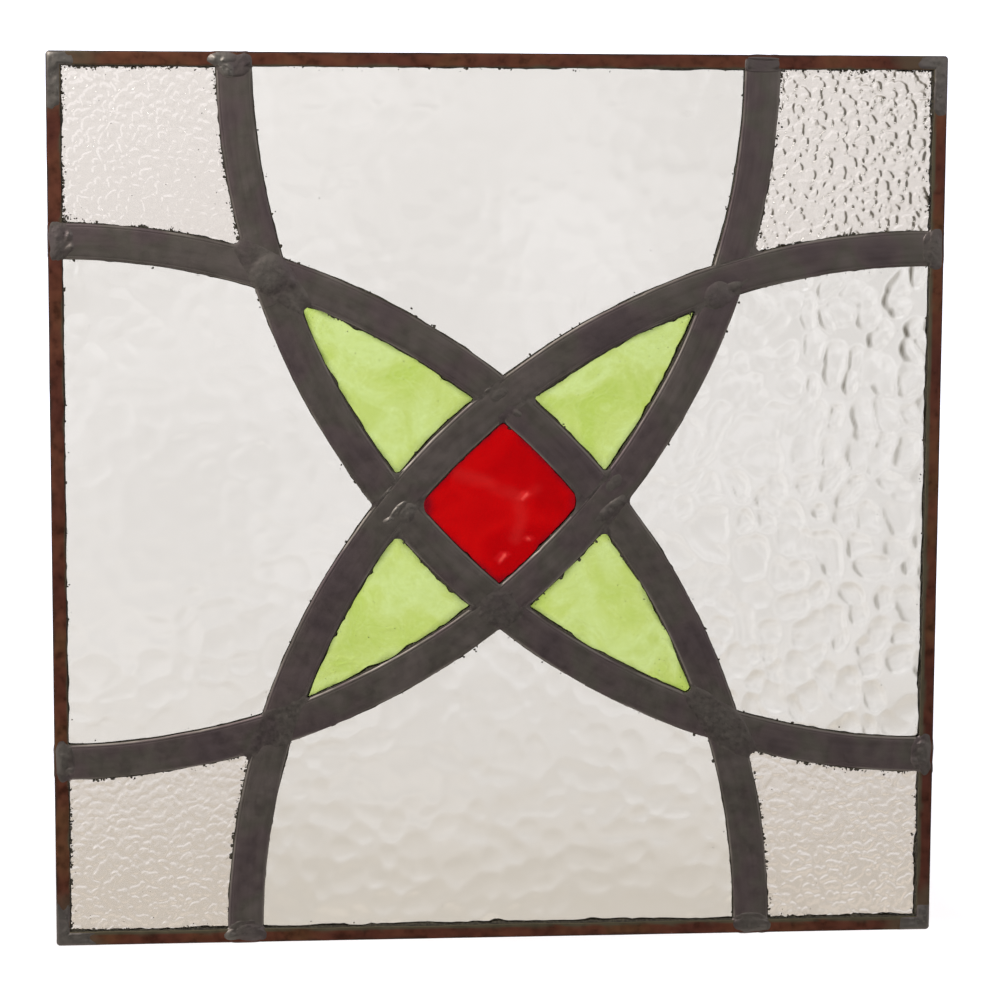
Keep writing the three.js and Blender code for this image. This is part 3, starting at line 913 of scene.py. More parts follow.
def make_channels():
    """Four mitred lengths. A line u mm in from the edge runs from -(h - u) to h - u along its side, with h
    half the panel's side. The outer side wobbles, the lip is ragged, and both faces are a little dented."""
    inwards, depth = channel_section().T
    corner = np.linspace(0, 0.012, 10)
    stations = np.concatenate([corner - 1, np.linspace(-0.985, 0.985, 189), 1 - corner[::-1]])[:, None]
    lip = (inwards / CHANNEL_FACE) ** 2
    face = smooth_step(1.2, 2.6, np.abs(depth))
    run = stations * (HALF - inwards)
    for index, (name, start, full) in enumerate(GRIME):
        seed = 300 + 11 * index
        wobble = 0.1 + 0.1 * noise(run, 0, 30, seed) + 0.05 * noise(run, 0, 6, seed + 1)
        ragged = 0.22 * noise(run, 9, 16, seed + 2) + 0.1 * noise(run, 0, 3, seed + 3)
        u = inwards + np.where(inwards < 0.1, wobble, 0) * (1 - lip) + lip * ragged
        d = depth - np.sign(depth) * face * (0.06 + 0.06 * noise(run, inwards, 12, seed + 4))
        grime = smooth_step(start, full, u + 0.7 * fractal(run, 3 * inwards, 9, seed + 5))
        tin = HALF - np.abs(run) + 4 * fractal(run, inwards, 6, seed + 8)
        grime = np.maximum(grime, 0.65 * smooth_step(27, 15, tin)) * (np.abs(depth) > 1)
        # painted dark reflection on the rounded outer edge, weaker midway down the outer side
        arris = smooth_step(1.0, 0.3, u + 0.3 * noise(run, inwards, 5, seed + 6))
        arris = arris * (1 - 0.6 * smooth_step(1.6, 0.9, np.abs(depth)))
        angle = index * math.pi / 2
        x, y = rounded_corner(run * math.cos(angle) - (u - HALF) * math.sin(angle),
                              run * math.sin(angle) + (u - HALF) * math.cos(angle))
        make_piece(f"copper_channel_{name}", *swept(np.stack([x, y, d], axis=-1)), COPPER, "copper",
                   [f"channel_{name}"], {"grime": grime, "arris": arris})


# ---------------------------------------------------------------- soldered joints

# For the front, 1, and the back, -1: the rings in a sheet of solder, and how high it may stand.
SOLDER_RINGS = {1: 20, -1: 6}
SOLDER_LIMIT = {1: 1.15, -1: 0.16}

# Crossings: the two curves; the fillet's radius in each of the four corners between them, as (side of
# the first, side of the second, radius); how far the sheet runs up the arms; its height; its roughness;
# and how pale it is.
CROSSING_SOLDER = {
    "upper_left": ("TR", "BL", ((-1, 1, 1.8), (-1, -1, 3.2), (1, -1, 1.0), (1, 1, 3.2)),
                   2.6, 0.1, 0.12, 0.25),
    "upper_right": ("TL", "BR", ((1, -1, 1.0), (-1, -1, 1.6), (-1, 1, 0.6), (1, 1, 3.2)),
                    2.0, -0.25, 0.15, 0.2),
    "lower_left": ("TL", "BR", ((-1, 1, 1.6), (1, 1, 3.0), (1, -1, 2.0), (-1, -1, 1.0)),
                   2.0, -0.12, 0.1, 0.1),
    "lower_right": ("TR", "BL", ((-1, 1, 1.4), (1, 1, 3.0), (1, -1, 1.0), (-1, -1, 3.0)),
                    2.4, 0.1, 0.12, 0.15),
    "top": ("BL", "BR", ((1, 1, 1.2), (1, -1, 3.0), (-1, -1, 2.2), (-1, 1, 2.2)),
            1.5, -0.25, 0.3, 0.4),
    "right": ("TL", "BL", ((1, 1, 4.0), (-1, 1, 2.8), (-1, -1, 10.0), (1, -1, 3.8)),
              2.0, -0.3, 0.4, 0.4),
    "bottom": ("TL", "TR", ((-1, -1, 1.2), (1, -1, 2.2), (-1, 1, 1.6), (1, 1, 1.2)),
               2.0, -0.2, 0.2, 0.25),
    "left": ("TR", "BR", ((1, 1, 3.2), (-1, 1, 3.8), (1, -1, 4.4), (-1, -1, 7.0)),
             2.0, -0.3, 0.5, 0.4),
}

# Rim joints: the curve and the edge; how far solder runs along the channel past the came's sides, to the
# left or down and to the right or up; how far down the came; fillets; height; roughness; paleness.
RIM_SOLDER = {
    "top_left": ("TR", "top", (4.6, 0.2), 4.0, 1.4, 0.12, 0.7, 0.7),
    "top_right": ("TL", "top", (0.6, 0.8), 0.8, 1.0, 0.05, 0.2, 0.35),
    "bottom_left": ("BR", "bottom", (2.4, 1.8), 3.0, 1.6, 0.1, 0.5, 0.5),
    "bottom_right": ("BL", "bottom", (1.0, 2.0), 2.4, 1.4, 0.1, 0.4, 0.4),
    "left_upper": ("BL", "left", (1.8, 1.2), 4.5, 1.4, 0.1, 0.8, 0.4),
    "left_lower": ("TL", "left", (1.6, 3.0), 2.0, 1.4, 0.1, 0.5, 0.5),
    "right_upper": ("BR", "right", (1.4, 1.6), 2.4, 1.6, 0.1, 0.5, 0.2),
    "right_lower": ("TR", "right", (2.2, 1.4), 2.6, 1.8, 0.1, 0.7, 0.5),
}

# The lumps of each sheet, as (x, y, half length, half width, turn, height, power), from its middle.
LUMPS = {
    "crossing_upper_left": (
        (0.6, -0.4, 9.6, 8.8, 30, 0.5, 3.2), (4.5, 0.5, 1.5, 1.1, 0, 0.62, 2),
        (9.6, -3.4, 2.2, 3.0, 20, 0.4, 2)),
    "crossing_upper_right": (
        (-3.6, -7.4, 7.6, 6.8, 60, 0.5, 3.6), (2.6, -3.0, 5.0, 2.6, 20, 0.36, 3),
        (8.0, -1.0, 7.0, 3.0, 15, 0.12, 3)),
    "crossing_lower_left": (
        (0.5, 0.5, 6.0, 4.5, 45, 0.05, 3), (5.0, -3.0, 3.0, 2.0, 40, 0.08, 2)),
    "crossing_lower_right": (
        (-1.0, 0.5, 9.0, 7.0, 130, 0.2, 3), (4.0, 2.0, 3.0, 2.2, 20, 0.15, 2)),
    "crossing_top": (
        (-1.5, 2.0, 6.0, 2.6, 40, 0.2, 2), (6.5, -7.0, 3.0, 1.4, -40, 0.3, 2),
        (-7.5, 4.0, 2.4, 1.0, 40, 0.3, 2)),
    "crossing_right": (
        (1.6, -3.6, 10.5, 3.0, 40, 0.5, 2), (4.4, 9.0, 9.5, 3.0, 48, 0.32, 2),
        (-6.0, 4.4, 5.0, 1.2, 46, 0.2, 2)),
    "crossing_bottom": (
        (0.0, -1.0, 9.4, 8.8, 0, 0.3, 4), (-8.5, -3.0, 2.0, 1.0, 60, 0.3, 2),
        (5.2, 6.6, 1.8, 0.9, 40, 0.25, 2)),
    "crossing_left": (
        (5.0, -3.6, 5.0, 4.2, 60, 0.5, 2.4), (0.6, -1.6, 6.6, 1.5, 46, 0.66, 2),
        (-3.4, -6.6, 3.4, 1.6, 30, 0.6, 2), (-3.6, 6.4, 1.6, 0.9, 40, 0.35, 2),
        (-7.0, 3.0, 5.0, 0.9, 52, 0.25, 2)),
    "rim_top_left": (
        (-6.0, 3.4, 5.6, 3.4, 0, 0.7, 2.4), (-3.2, -1.4, 3.8, 5.2, 10, 0.6, 2.4)),
    "rim_top_right": (
        (0.3, 5.2, 8.0, 0.7, -2, 0.4, 2), (-7.6, 2.0, 0.7, 3.4, 0, 0.3, 2)),
    "rim_bottom_left": (
        (-7.0, -3.6, 3.2, 2.0, 0, 0.55, 2.4), (1.5, -2.0, 7.0, 4.2, 0, 0.35, 2.6),
        (3.0, 4.0, 2.0, 1.4, 20, 0.3, 2)),
    "rim_bottom_right": (
        (0.0, -2.6, 8.0, 4.0, 0, 0.2, 2.6), (5.0, -4.0, 3.0, 1.6, 0, 0.25, 2)),
    "rim_left_upper": (
        (-2.6, 0.5, 6.6, 3.4, 90, 0.35, 2.4), (2.6, 2.4, 2.4, 1.6, 60, 0.5, 2),
        (3.6, -2.8, 3.0, 2.0, 30, 0.45, 2)),
    "rim_left_lower": (
        (-3.4, 2.0, 8.0, 3.0, 90, 0.35, 2.4), (1.0, -4.0, 3.4, 1.6, 0, 0.4, 2)),
    "rim_right_upper": (
        (2.6, 0.0, 6.6, 3.4, 90, 0.25, 2.4), (-3.0, 4.6, 2.6, 1.6, 0, 0.25, 2)),
    "rim_right_lower": (
        (2.4, 0.0, 7.0, 3.6, 90, 0.35, 2.4), (1.0, 5.0, 2.4, 1.6, 20, 0.45, 2),
        (-2.0, -3.0, 2.4, 1.8, 0, 0.35, 2)),
}

# Corners: how far the solder reaches along the rail and along the stile.
CORNER_SOLDER = {
    "top_left": ((-1, 1), (12.0, 25.0)),
    "top_right": ((1, 1), (14.0, 27.0)),
    "bottom_left": ((-1, -1), (18.0, 20.0)),
    "bottom_right": ((1, -1), (15.0, 13.0)),
}


def corner_arc(first, second, near, radius):
    """The concave round between two pieces of metal: an arc that touches both edges. Each edge is a
    (name, side) pair, with side 1 or -1 for the outside or inside of a curve and 0 for a rim's lip."""
    def edge(name, side, more):
        return circle(name, side * (CAME_FACE / 2 + more)) if side else edge_line(name, CHANNEL_FACE + more)

    def touch(shape, point):
        if is_line(shape):
            foot = point.copy()
            foot[shape[0]] = shape[1]
            return foot
        spoke = point - shape[0]
        return shape[0] + spoke / np.hypot(*spoke) * shape[1]

    centre = meet(edge(*first, radius), edge(*second, radius), near)
    start, end = touch(edge(*first, 0), centre), touch(edge(*second, 0), centre)
    return trace((centre, radius), start, end, np.linspace(0, 1, 9))


def off_curve(curve, point):
    """How far outside a curve's circle a point is."""
    centre, radius = circle(curve)
    return np.hypot(*(point - centre)) - radius


def tongue(curve, start, end, extra, middle):
    """Solder's edge across a came's face, from one side's point to the other's: it bulges away from
    `middle` by extra (1 - |2t - 1|^3)."""
    first, last = angle_of(curve, start), angle_of(curve, end)
    outward = np.sign((first + last) / 2 - angle_of(curve, middle))
    t = np.linspace(0, 1, 16)[1:-1]
    more = extra * (1 - np.abs(2 * t - 1) ** 3)
    angle = first + (last - first) * t + outward * more / CURVES[curve]["radius"]
    s0, s1 = off_curve(curve, start), off_curve(curve, end)
    return on_curve(curve, angle, s0 + (s1 - s0) * t)


def solder_sheet(middle, outline, base, lumps, rough, seed, face):
    """Solder melted over a joint. Rings shrink from the outline to `middle`; at a share s of the way out
    its top is base (1 - s^3) above the metal, rolled off at the rim by 0.4 s^8, and each lump adds
    height (1 - q^p), with q its elliptical radius. The rim drops as a wall to the glass."""
    share = np.concatenate([np.linspace(0.05, 0.9, SOLDER_RINGS[face]), [0.94, 0.97, 0.99, 1.0]])[:, None]
    x, y = np.moveaxis(middle + share[..., None] * (outline - middle), -1, 0)
    swell = np.zeros(x.shape)
    for dx, dy, half_length, half_width, turn, height, power in lumps:
        cos, sin = math.cos(math.radians(turn)), math.sin(math.radians(turn))
        u, v = x - middle[0] - dx, y - middle[1] - dy
        q = np.hypot((u * cos + v * sin) / half_length, (v * cos - u * sin) / half_width)
        q = q * (1 + 0.25 * rough * fractal(x, y, 4, seed + 3))
        swell = np.maximum(swell, height * (1 - np.minimum(q, 1) ** power))
    grain = rough * (0.5 * fractal(x, y, 3.4, seed) + 0.3 * noise(x, y, 1.2, seed + 1))
    high = base * (1 - share ** 3) + swell * (1 + grain)
    high = high + 0.12 * rough * noise(x, y, 2.4, seed + 2) * (1 - share ** 6)
    high = np.minimum(high * (1 if face > 0 else 0.25), SOLDER_LIMIT[face]) - 0.4 * share ** 8
    top = np.stack([x, y, face * (FACE + high)], axis=-1)
    floor = face * (GLASS + 0.05)
    foot = np.stack([x[-1], y[-1], np.full(len(outline), floor)], axis=-1)
    shell = domed(np.concatenate([top, foot[None]]), [*middle, face * (FACE + high[0].mean())],
                  [*middle, floor])
    thick = np.clip(swell / 0.6, 0, 1) * (1 - share ** 8)
    return shell, np.concatenate([thick.ravel(), np.zeros(len(outline)), [thick[0].mean(), 0]])


def anticlockwise(points, middle):
    """Whether a short run of points goes anticlockwise round `middle`."""
    a, b = points[0] - middle, points[-1] - middle
    return a[0] * b[1] - a[1] * b[0] > 0


def crossing_outline(name):
    """Four fillets joined by tongues up the arms, in order round the crossing."""
    first, second, corners, extra, *_ = CROSSING_SOLDER[name]
    middle = CROSSINGS[name]
    arcs = []
    for side_a, side_b, radius in corners:
        arc = corner_arc((first, side_a), (second, side_b), middle, radius)
        arcs.append(arc if anticlockwise(arc, middle) else arc[::-1])
    arcs.sort(key=lambda arc: math.atan2(*(arc.mean(axis=0) - middle)[::-1]))
    outline = []
    for arc, following in zip(arcs, arcs[1:] + arcs[:1]):
        ends = arc[-1], following[0]
        curve = min((first, second), key=lambda c: sum(abs(abs(off_curve(c, end)) - CAME_FACE / 2)
                                                       for end in ends))
        outline += [arc, tongue(curve, *ends, extra, middle)]
    return np.concatenate(outline)


def rim_outline(name):
    """Solder over the channel, out to its edge as a superellipse's upper half with power 5, two fillets
    and a tongue down the came."""
    curve, edge, beyond, extra, radius, *_ = RIM_SOLDER[name]
    axis, side = EDGES[edge]
    near = end_point(curve, ("rim", edge))
    arcs = [corner_arc((curve, turn), (edge, 0), near, radius) for turn in (-1, 1)]
    low, high = sorted(arcs, key=lambda arc: arc[-1][1 - axis])
    turn = np.linspace(0, np.pi, 34)[1:-1]
    start, end = low[-1][1 - axis] - beyond[0], high[-1][1 - axis] + beyond[1]
    along = (start + end) / 2 - (end - start) / 2 * np.sign(np.cos(turn)) * np.abs(np.cos(turn)) ** 0.4
    inwards = CHANNEL_FACE - 0.1 - (CHANNEL_FACE + 0.05) * np.sin(turn) ** 0.4
    ragged = 0.3 * noise(along, 0, 2.2, len(name)) * np.sin(turn)
    cap = np.zeros((len(turn), 2))
    cap[:, 1 - axis] = along
    cap[:, axis] = side * (HALF - inwards + ragged)
    middle = near.copy()
    middle[axis] = side * (HALF - CHANNEL_FACE - 0.5)
    down = tongue(curve, high[0], low[0], extra, cap.mean(axis=0))
    return np.concatenate([low, cap, high[::-1], down]), middle


def corner_patch(corner, reach, seed, face):
    """Solder over a mitred corner, as a strip bent round it. A line u mm in from the edge runs out to
    `reach` along both arms, t from -1 to 1, and its height is 0.4 (1 - v^6) (1 - t^4), with v across."""
    inwards = np.linspace(0.12, CHANNEL_FACE - 0.05, 15)
    t = np.linspace(-1, 1, 81)[:, None]
    ragged = 1 + 0.13 * noise(inwards, 0, 3.4, seed)
    along_rail = inwards + (reach[0] * ragged - inwards) * np.clip(t, 0, 1)
    along_stile = inwards + (reach[1] * ragged - inwards) * np.clip(-t, 0, 1)
    v = (inwards - inwards.mean()) / (inwards[-1] - inwards[0]) * 2
    bumps = 1 + 0.7 * fractal(along_rail, along_stile, 5, seed + 1)
    fade = 1 - np.abs(t) ** 4
    high = (0.4 * bumps + 0.2) * (1 - v ** 6) * fade - 0.2
    high = np.minimum(high * (1 if face > 0 else 0.4), SOLDER_LIMIT[face])
    x, y = rounded_corner(corner[0] * (HALF - along_rail), corner[1] * (HALF - along_stile))
    top = np.stack([x, y, face * (FACE + high)], axis=-1)
    under = np.stack([x, y, np.full(x.shape, face * (FACE - 0.5))], axis=-1)
    rows, cols = x.shape
    ring = border(rows, cols)
    wall = np.stack([ring, np.roll(ring, -1), np.roll(ring, -1) + rows * cols, ring + rows * cols], axis=-1)
    points = np.concatenate([top.reshape(-1, 3), under.reshape(-1, 3)])
    faces = [grid(rows, cols), grid(rows, cols, rows * cols)[:, ::-1], wall[:, ::-1]]
    thick = np.concatenate([(fade * (1 - v ** 4)).ravel(), np.zeros(rows * cols)])
    return (points, facing_out(points, faces)), thick


def add_solder(name, shell, thick, pale, face):
    """Solder on the front stands for its CAD pad. The back has its own, which no solid stands for."""
    side, pads = ("front", [f"solder_{name}"]) if face > 0 else ("back", ())
    make_piece(f"{side}_solder_{name}", *shell, SOLDER, "solder", pads, {"pale": pale * thick})


def make_solder():
    """The twenty joints of the front, then the twenty of the back."""
    for face in (1, -1):
        for index, (name, (*_, base, rough, pale)) in enumerate(CROSSING_SOLDER.items()):
            shell, thick = solder_sheet(CROSSINGS[name], crossing_outline(name), base if face > 0 else 0.5,
                                        LUMPS[f"crossing_{name}"], rough, 500 + 13 * index + 6 * face, face)
            add_solder(f"crossing_{name}", shell, thick, pale, face)
        for index, (name, (*_, base, rough, pale)) in enumerate(RIM_SOLDER.items()):
            outline, middle = rim_outline(name)
            shell, thick = solder_sheet(middle, outline, base, LUMPS[f"rim_{name}"], rough,
                                        700 + 13 * index + 6 * face, face)
            add_solder(f"rim_{name}", shell, thick, pale, face)
        for index, (name, (corner, reach)) in enumerate(CORNER_SOLDER.items()):
            shell, thick = corner_patch(corner, reach, 900 + 13 * index + face, face)
            add_solder(f"corner_{name}", shell, thick, 0.5, face)


# ---------------------------------------------------------------- glazing cement

# Crumbs for each mm of edge, and specks on the glass, for each kind of pane. Some edges are dirtier.
CRUMBS = {"hammered": (0.15, 9), "granite": (1.7, 22), "green": (0.35, 30), "red": (0.1, 3)}
EDGE_DIRT = {"left": 2.2, "right": 1.8, "top": 1.8, "bottom": 1.3}
CORNER_DIRT = {"granite_top_left": 90}         # dirt packed into the lower left corner of a pane

# How far the cement reaches over the glass: from each length of channel, or round each kind of pane.
# Round the green and ruby panes the dark bead is wider, and stands partly for painted shadow at the metal.
CEMENT_AND_SHADOW_WIDTH = {"top": 0.55, "left": 0.5, "right": 0.8, "bottom": 1.0,
                "hammered": 0.35, "granite": 0.5, "green": 1.1, "red": 0.7}


def side_frame(route, middle, t):
    """Points along one line of a pane's edge, and the unit vectors from them into the pane."""
    line, start, end, _ = route
    path = trace(line, start, end, t)
    if is_line(line):
        inward = np.zeros((len(t), 2))
        inward[:, line[0]] = -np.sign(line[1])
        return path, inward
    inward = (path - line[0]) / line[1]
    return path, inward * np.sign(((middle - path) * inward).sum(axis=1))[:, None]


def bead(route, middle, width, seed, face, spacing):
    """A fillet of cement along one line of a pane's edge: from under the metal's leaf down to the glass,
    reaching `width` mm over the glass, more or less by noise, with a lump here and there."""
    length = np.hypot(*(route[2] - route[1])) * 1.05
    count = max(4, math.ceil(length / spacing))
    path, inward = side_frame(route, middle, np.linspace(0, 1, count))
    run = np.arange(count) * spacing
    ragged = 0.75 + 0.5 * noise(run, 0, 15, seed) + 0.25 * noise(run, 0, 3.1, seed + 1)
    lumps = 0.8 * smooth_step(0.5, 0.95, noise(run, 0, 4.3, seed + 2))
    reach = np.maximum(width * (ragged + lumps), 0.1)[:, None]
    tuck = np.full((count, 1), -1.4)
    across = np.concatenate([tuck, np.full((count, 1), -0.1), 0.45 * reach, reach, tuck], axis=1)
    slot = FACE - CAME_LEAF
    low = GLASS - 0.4
    depth = np.array([slot + 0.05, slot + 0.1, GLASS + 0.25, low, low]) + 0 * across
    spots = path[:, None] + inward[:, None] * across[..., None]
    return np.concatenate([spots, face * depth[..., None]], axis=-1)


def crumbs(spots, size, seed):
    """Many crumbs on the front at once: each is a pole, two rings of six uneven points, and a pole below."""
    count = len(spots)
    around = 6
    angle = np.arange(around) * 2 * np.pi / around
    uneven = 0.65 + 0.7 * lattice(seed, count, 1, around)
    stretch = 0.55 + 0.45 * lattice(seed + 1, count, 1, 1)
    turn = np.pi * lattice(seed + 2, count, 1, 1)
    reach = size[:, None, None] * np.array([0.55, 1.0])[:, None] * uneven
    u = reach * np.cos(angle)
    v = reach * np.sin(angle) * stretch
    x = spots[:, 0, None, None] + u * np.cos(turn) - v * np.sin(turn)
    y = spots[:, 1, None, None] + u * np.sin(turn) + v * np.cos(turn)
    d = np.array([GLASS + 0.28, GLASS - 0.1])[:, None] + 0 * x
    rings = np.stack([x, y, d], axis=-1).reshape(count, 2 * around, 3)
    poles = [np.column_stack([spots, np.full(count, GLASS + high)]) for high in (0.36, -0.4)]
    points = np.concatenate([rings, np.stack(poles, axis=1)], axis=1).reshape(-1, 3)
    k = np.arange(around)
    after = np.roll(k, -1)
    quads = np.stack([k, after, after + around, k + around], axis=-1)
    top = np.stack([after, k, np.full(around, 2 * around)], axis=-1)
    under = np.stack([k + around, after + around, np.full(around, 2 * around + 1)], axis=-1)
    step = (np.arange(count) * (2 * around + 2))[:, None, None]
    blocks = [(block[None] + step).reshape(-1, block.shape[1]) for block in (quads, top, under)]
    return points, facing_out(points, blocks)


def edge_crumbs(route, middle, share, seed, draw):
    """Crumbs along one line of a pane's edge: most of them lie close to the metal, and noise gathers them
    in clumps. Gives their places and sizes."""
    length = np.hypot(*(route[2] - route[1]))
    number = int(length * share)
    t = lattice(draw, number)
    clumped = noise(t * length, 0, 9, seed) > 1.1 * lattice(seed, number) - 0.75
    t = t[clumped]
    path, inward = side_frame(route, middle, t)
    away = 0.2 - 0.75 * np.log(1 - 0.97 * lattice(draw + 1, len(t)))
    size = (0.12 + 0.6 * lattice(draw + 2, len(t)) ** 3) * np.where(away < 1.1, 1.5, 0.8)
    return path + inward * away[:, None], size


def pane_crumbs(pane, routes, middle, seed):
    """Crumbs broken off along a pane's edges, a fan of dirt in its lower left corner where it has one,
    and a few specks out on the glass."""
    crumbs_per_mm, specks = CRUMBS[pane.split("_")[0]]
    found = [edge_crumbs(route, middle, crumbs_per_mm * EDGE_DIRT.get(route[3], 1.0), seed + k, seed + 3 * k)
             for k, route in enumerate(routes)]
    number = CORNER_DIRT.get(pane, 0)
    fan = np.radians(15 + 75 * lattice(seed + 61, number))
    out = -3.0 * np.log(1 - 0.98 * lattice(seed + 62, number))
    found.append((routes[0][1] + out[:, None] * np.stack([np.cos(fan), np.sin(fan)], axis=-1),
                  0.15 + 0.45 * lattice(seed + 63, number) ** 2))
    clear = patch(pane, 41, 41, CAME_FACE / 2 + 2.5, CHANNEL_FACE + 2.5).reshape(-1, 2)
    found.append((clear[(lattice(seed + 50, specks) * len(clear)).astype(int)],
                  0.1 + 0.2 * lattice(seed + 51, specks) ** 2))
    spots, sizes = (np.concatenate(part) for part in zip(*found))
    return crumbs(spots, sizes, seed + 60)


def make_cement():
    """All the beads and crumbs round one pane, on one face, are one piece."""
    for side_word, face, spacing in (("front", 1, 1.0), ("back", -1, 2.6)):
        for index, pane in enumerate(PANES):
            middle = pane_middle(pane)
            routes = [route for side in pane_sides(pane, CAME_FACE / 2, CHANNEL_FACE)[0] for route in side]
            shells = []
            for k, route in enumerate(routes):
                # the bead's width is partly cement and partly painted shadow at the metal
                width = CEMENT_AND_SHADOW_WIDTH.get(route[3], CEMENT_AND_SHADOW_WIDTH[pane.split("_")[0]])
                shells.append(swept(bead(route, middle, width, 1100 + 17 * index + k, face, spacing)))
            if face > 0:
                shells.append(pane_crumbs(pane, routes, middle, 1500 + 100 * index))
            starts = np.cumsum([0] + [len(points) for points, _ in shells])
            blocks = [block + start for (_, faces), start in zip(shells, starts) for block in faces]
            make_piece(f"cement_{side_word}_{pane}", np.concatenate([points for points, _ in shells]), blocks,
                       CEMENT, "cement")


# ---------------------------------------------------------------- stage, light and camera

# The paper sweep, in metres: the height of its floor, how far the floor runs back from the panel, the
# radius of its bend, and how strongly it glows.
FLOOR = -0.3
SWEEP_FLAT = 1.6
SWEEP_BEND = 1.1
SWEEP_GLOW = 0.9


def camera():
    """A long lens a little to the left of the panel and above it, aimed almost at its middle."""
    data = bpy.data.cameras.new("camera")
    data.lens = 114.3
    data.sensor_width = 36.0
    made = bpy.data.objects.new("camera", data)
    bpy.context.scene.collection.objects.link(made)
    side = 2 * HALF * MM
    middle = Vector((0, 0, MIDDLE * MM))
    azimuth, elevation, distance = math.radians(-5.296), math.radians(7.212), 3.5508 * side
    back = Vector((math.sin(azimuth) * math.cos(elevation), -math.cos(azimuth) * math.cos(elevation),
                   math.sin(elevation)))
    aim = middle + Vector((-0.0032, 0, 0.0054)) * side
    made.location = middle + back * distance
    turn = (made.location - aim).to_track_quat("Z", "Y")
    roll = Quaternion((0, 0, 1), math.radians(0.273))
    made.rotation_mode = "QUATERNION"
    made.rotation_quaternion = turn @ roll
    bpy.context.scene.camera = made


def area_light(name, location, size, power, colour):
    """A square lamp aimed at the panel's middle."""
    data = bpy.data.lights.new(name, "AREA")
    data.size = size
    data.energy = power
    data.color = linear(colour)[:3]
    made = bpy.data.objects.new(name, data)
    made.location = location
    made.rotation_euler = (Vector(location) - Vector((0, 0, MIDDLE * MM))).to_track_quat("Z", "Y").to_euler()
    bpy.context.scene.collection.objects.link(made)


def sweep():
    """A pale paper sweep that glows with painted light of its own where it stands behind the panel.

    Run along the paper by s, in metres: a flat floor up to s = 1.6, then a quarter circle of radius 1.1,
    then a wall. The panes show it through, so its glow, `lit`, sets how bright each of them looks. It
    comes up over the floor behind the panel. It falls away in three steps to the right, as painted shade,
    and above s = 3.4. It is 38% stronger in a band high up and in one on the left, and the floor near the
    panel, most of all to the right, glows a little more, painted light over the key lamp's shadow. `high`
    runs from warm near the panel to cool high up, and the paper's own colour is darkened far to the right
    as painted shade.
    """
    s = np.concatenate([[-3.0, -1.0, 0.0], np.arange(0.2, 3.5, 0.05), [3.7, 4.2, 5.0, 6.0]])
    x = np.concatenate([[-3.0, -1.5], np.arange(-1.0, -0.3, 0.03), [0.0, 0.2, 0.4],
                        np.arange(0.5, 1.4, 0.03), [2.0, 3.0]])
    s, x = np.meshgrid(s, x, indexing="ij")
    turn = np.clip((s - SWEEP_FLAT) / SWEEP_BEND, 0, np.pi / 2)
    y = np.minimum(s, SWEEP_FLAT) + SWEEP_BEND * np.sin(turn)
    wall = np.maximum(s - SWEEP_FLAT - SWEEP_BEND * np.pi / 2, 0)
    points = np.stack([x, y, FLOOR + SWEEP_BEND * (1 - np.cos(turn)) + wall], axis=-1)
    beside = x - 0.05 * smooth_step(2.2, 2.9, s)
    shade = (0.23 * smooth_step(0.82, 0.86, beside) + 0.35 * smooth_step(0.89, 0.95, beside)
             + 0.42 * smooth_step(1.0, 1.2, beside))
    bright = np.maximum(smooth_step(2.99, 3.09, s) * smooth_step(3.5, 3.4, s),
                        smooth_step(-0.38, -0.46, x) * smooth_step(-0.95, -0.85, x))
    near = (0.3 * smooth_step(1.12, 1.0, s) + 0.4 * smooth_step(0.3, 0.4, x) * smooth_step(1.13, 1.07, s)
            + 0.35 * smooth_step(0.49, 0.55, x) * smooth_step(1.46, 1.3, s))
    lit = smooth_step(0.25, 0.8, s) * (1 - shade) * (1 + 0.38 * bright) * (1 - 0.8 * smooth_step(3.4, 3.7, s))
    marks = {"lit": lit + near * smooth_step(0.2, 0.6, s), "high": smooth_step(1.0, 2.45, s),
             "painted_shade_right": smooth_step(0.86, 1.4, x) * smooth_step(0.9, 1.6, s)}
    stage_piece("paper_sweep", points.reshape(-1, 3), [grid(*x.shape)[:, ::-1]], lit_paper(), marks)


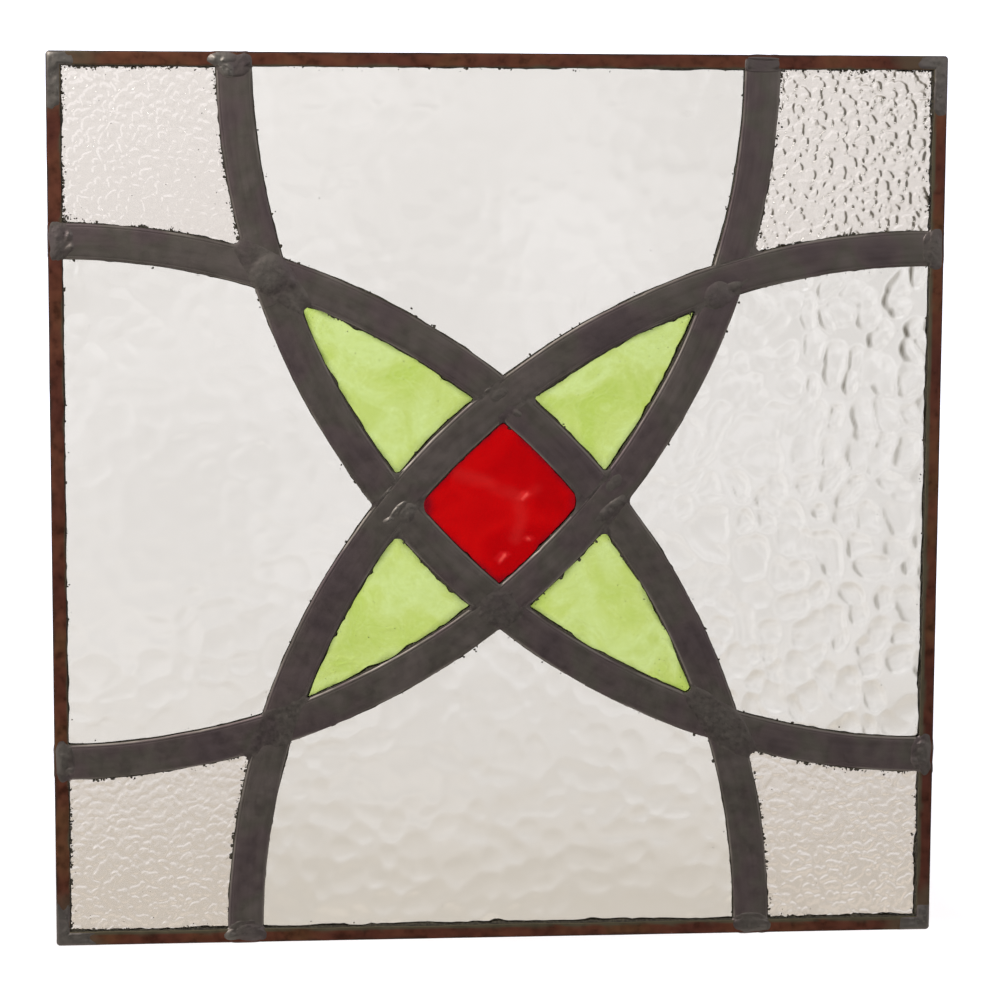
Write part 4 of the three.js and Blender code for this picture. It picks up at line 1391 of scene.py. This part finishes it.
def lit_paper():
    """Matt paper with a light of its own by `lit`, a little uneven in broad patches."""
    material, where = new_material("pale paper")
    glow = add_node(material, "Attribute", attribute_name="lit")
    height = add_node(material, "Attribute", attribute_name="high")
    tone = add_node(material, "ValToRGB", {"Fac": height.outputs["Fac"]}, stops=(
        (0.0, "#aeabaf"), (1.0, "#e1e8ff")))
    patches = add_node(material, "TexNoise", {"Vector": where, "Scale": per_mm(230), "Detail": 1.0})
    patchy = add_node(material, "MapRange", {
        "Value": patches.outputs["Fac"], "From Min": 0.35, "From Max": 0.65,
        "To Min": SWEEP_GLOW * 0.91, "To Max": SWEEP_GLOW * 1.09})
    strength = add_node(material, "Math", {0: glow.outputs["Fac"], 1: patchy.outputs["Result"]},
                        operation="MULTIPLY")
    material.cycles.emission_sampling = "NONE"
    return finish_material(material, {
        # painted shade in the paper's own colour far to the right
        "Base Color": stain(material, "painted_shade_right", linear("#e6e4e0"), "#8d8b88"),
        "Roughness": 0.9,
        "Emission Color": tone.outputs["Color"],
        "Emission Strength": strength.outputs[0],
    })


def black_card():
    """A black card that stands behind the camera and folds forward over the floor: all that it does is to
    keep the room out of the shine of the glass and of the lower cames."""
    material, _ = new_material("black card")
    finish_material(material, {"Base Color": linear("#0c0c0c"), "Roughness": 0.95})
    left, right, back, front, low, high = -0.75, 1.05, -1.62, -0.55, FLOOR + 0.005, 0.24
    points = np.array([(left, back, high), (right, back, high), (right, back, low), (left, back, low),
                       (right, front, low), (left, front, low)])
    card = stage_piece("black_card", points, [np.array([[3, 2, 1, 0], [5, 4, 2, 3]])], material)
    card.visible_camera = False
    card.visible_transmission = False
    card.visible_diffuse = False
    card.visible_shadow = False


def light_the_scene():
    """A large soft lamp from the upper left, a weak one from the right, and a pale room round them."""
    scene = bpy.context.scene
    scene.view_settings.view_transform = "Standard"
    world = bpy.data.worlds.new("studio")
    world.use_nodes = True
    room = world.node_tree.nodes["Background"].inputs
    room["Color"].default_value = linear("#fbfaf8")
    room["Strength"].default_value = 0.5
    scene.world = world
    area_light("key", (-1.5, -2.0, 1.9), 1.4, 70, "#fffaf6")
    area_light("fill", (1.6, -2.4, 0.6), 1.8, 6, "#f6f9ff")


camera()
make_panes()
make_cames()
make_channels()
make_solder()
make_cement()
sweep()
black_card()
light_the_scene()
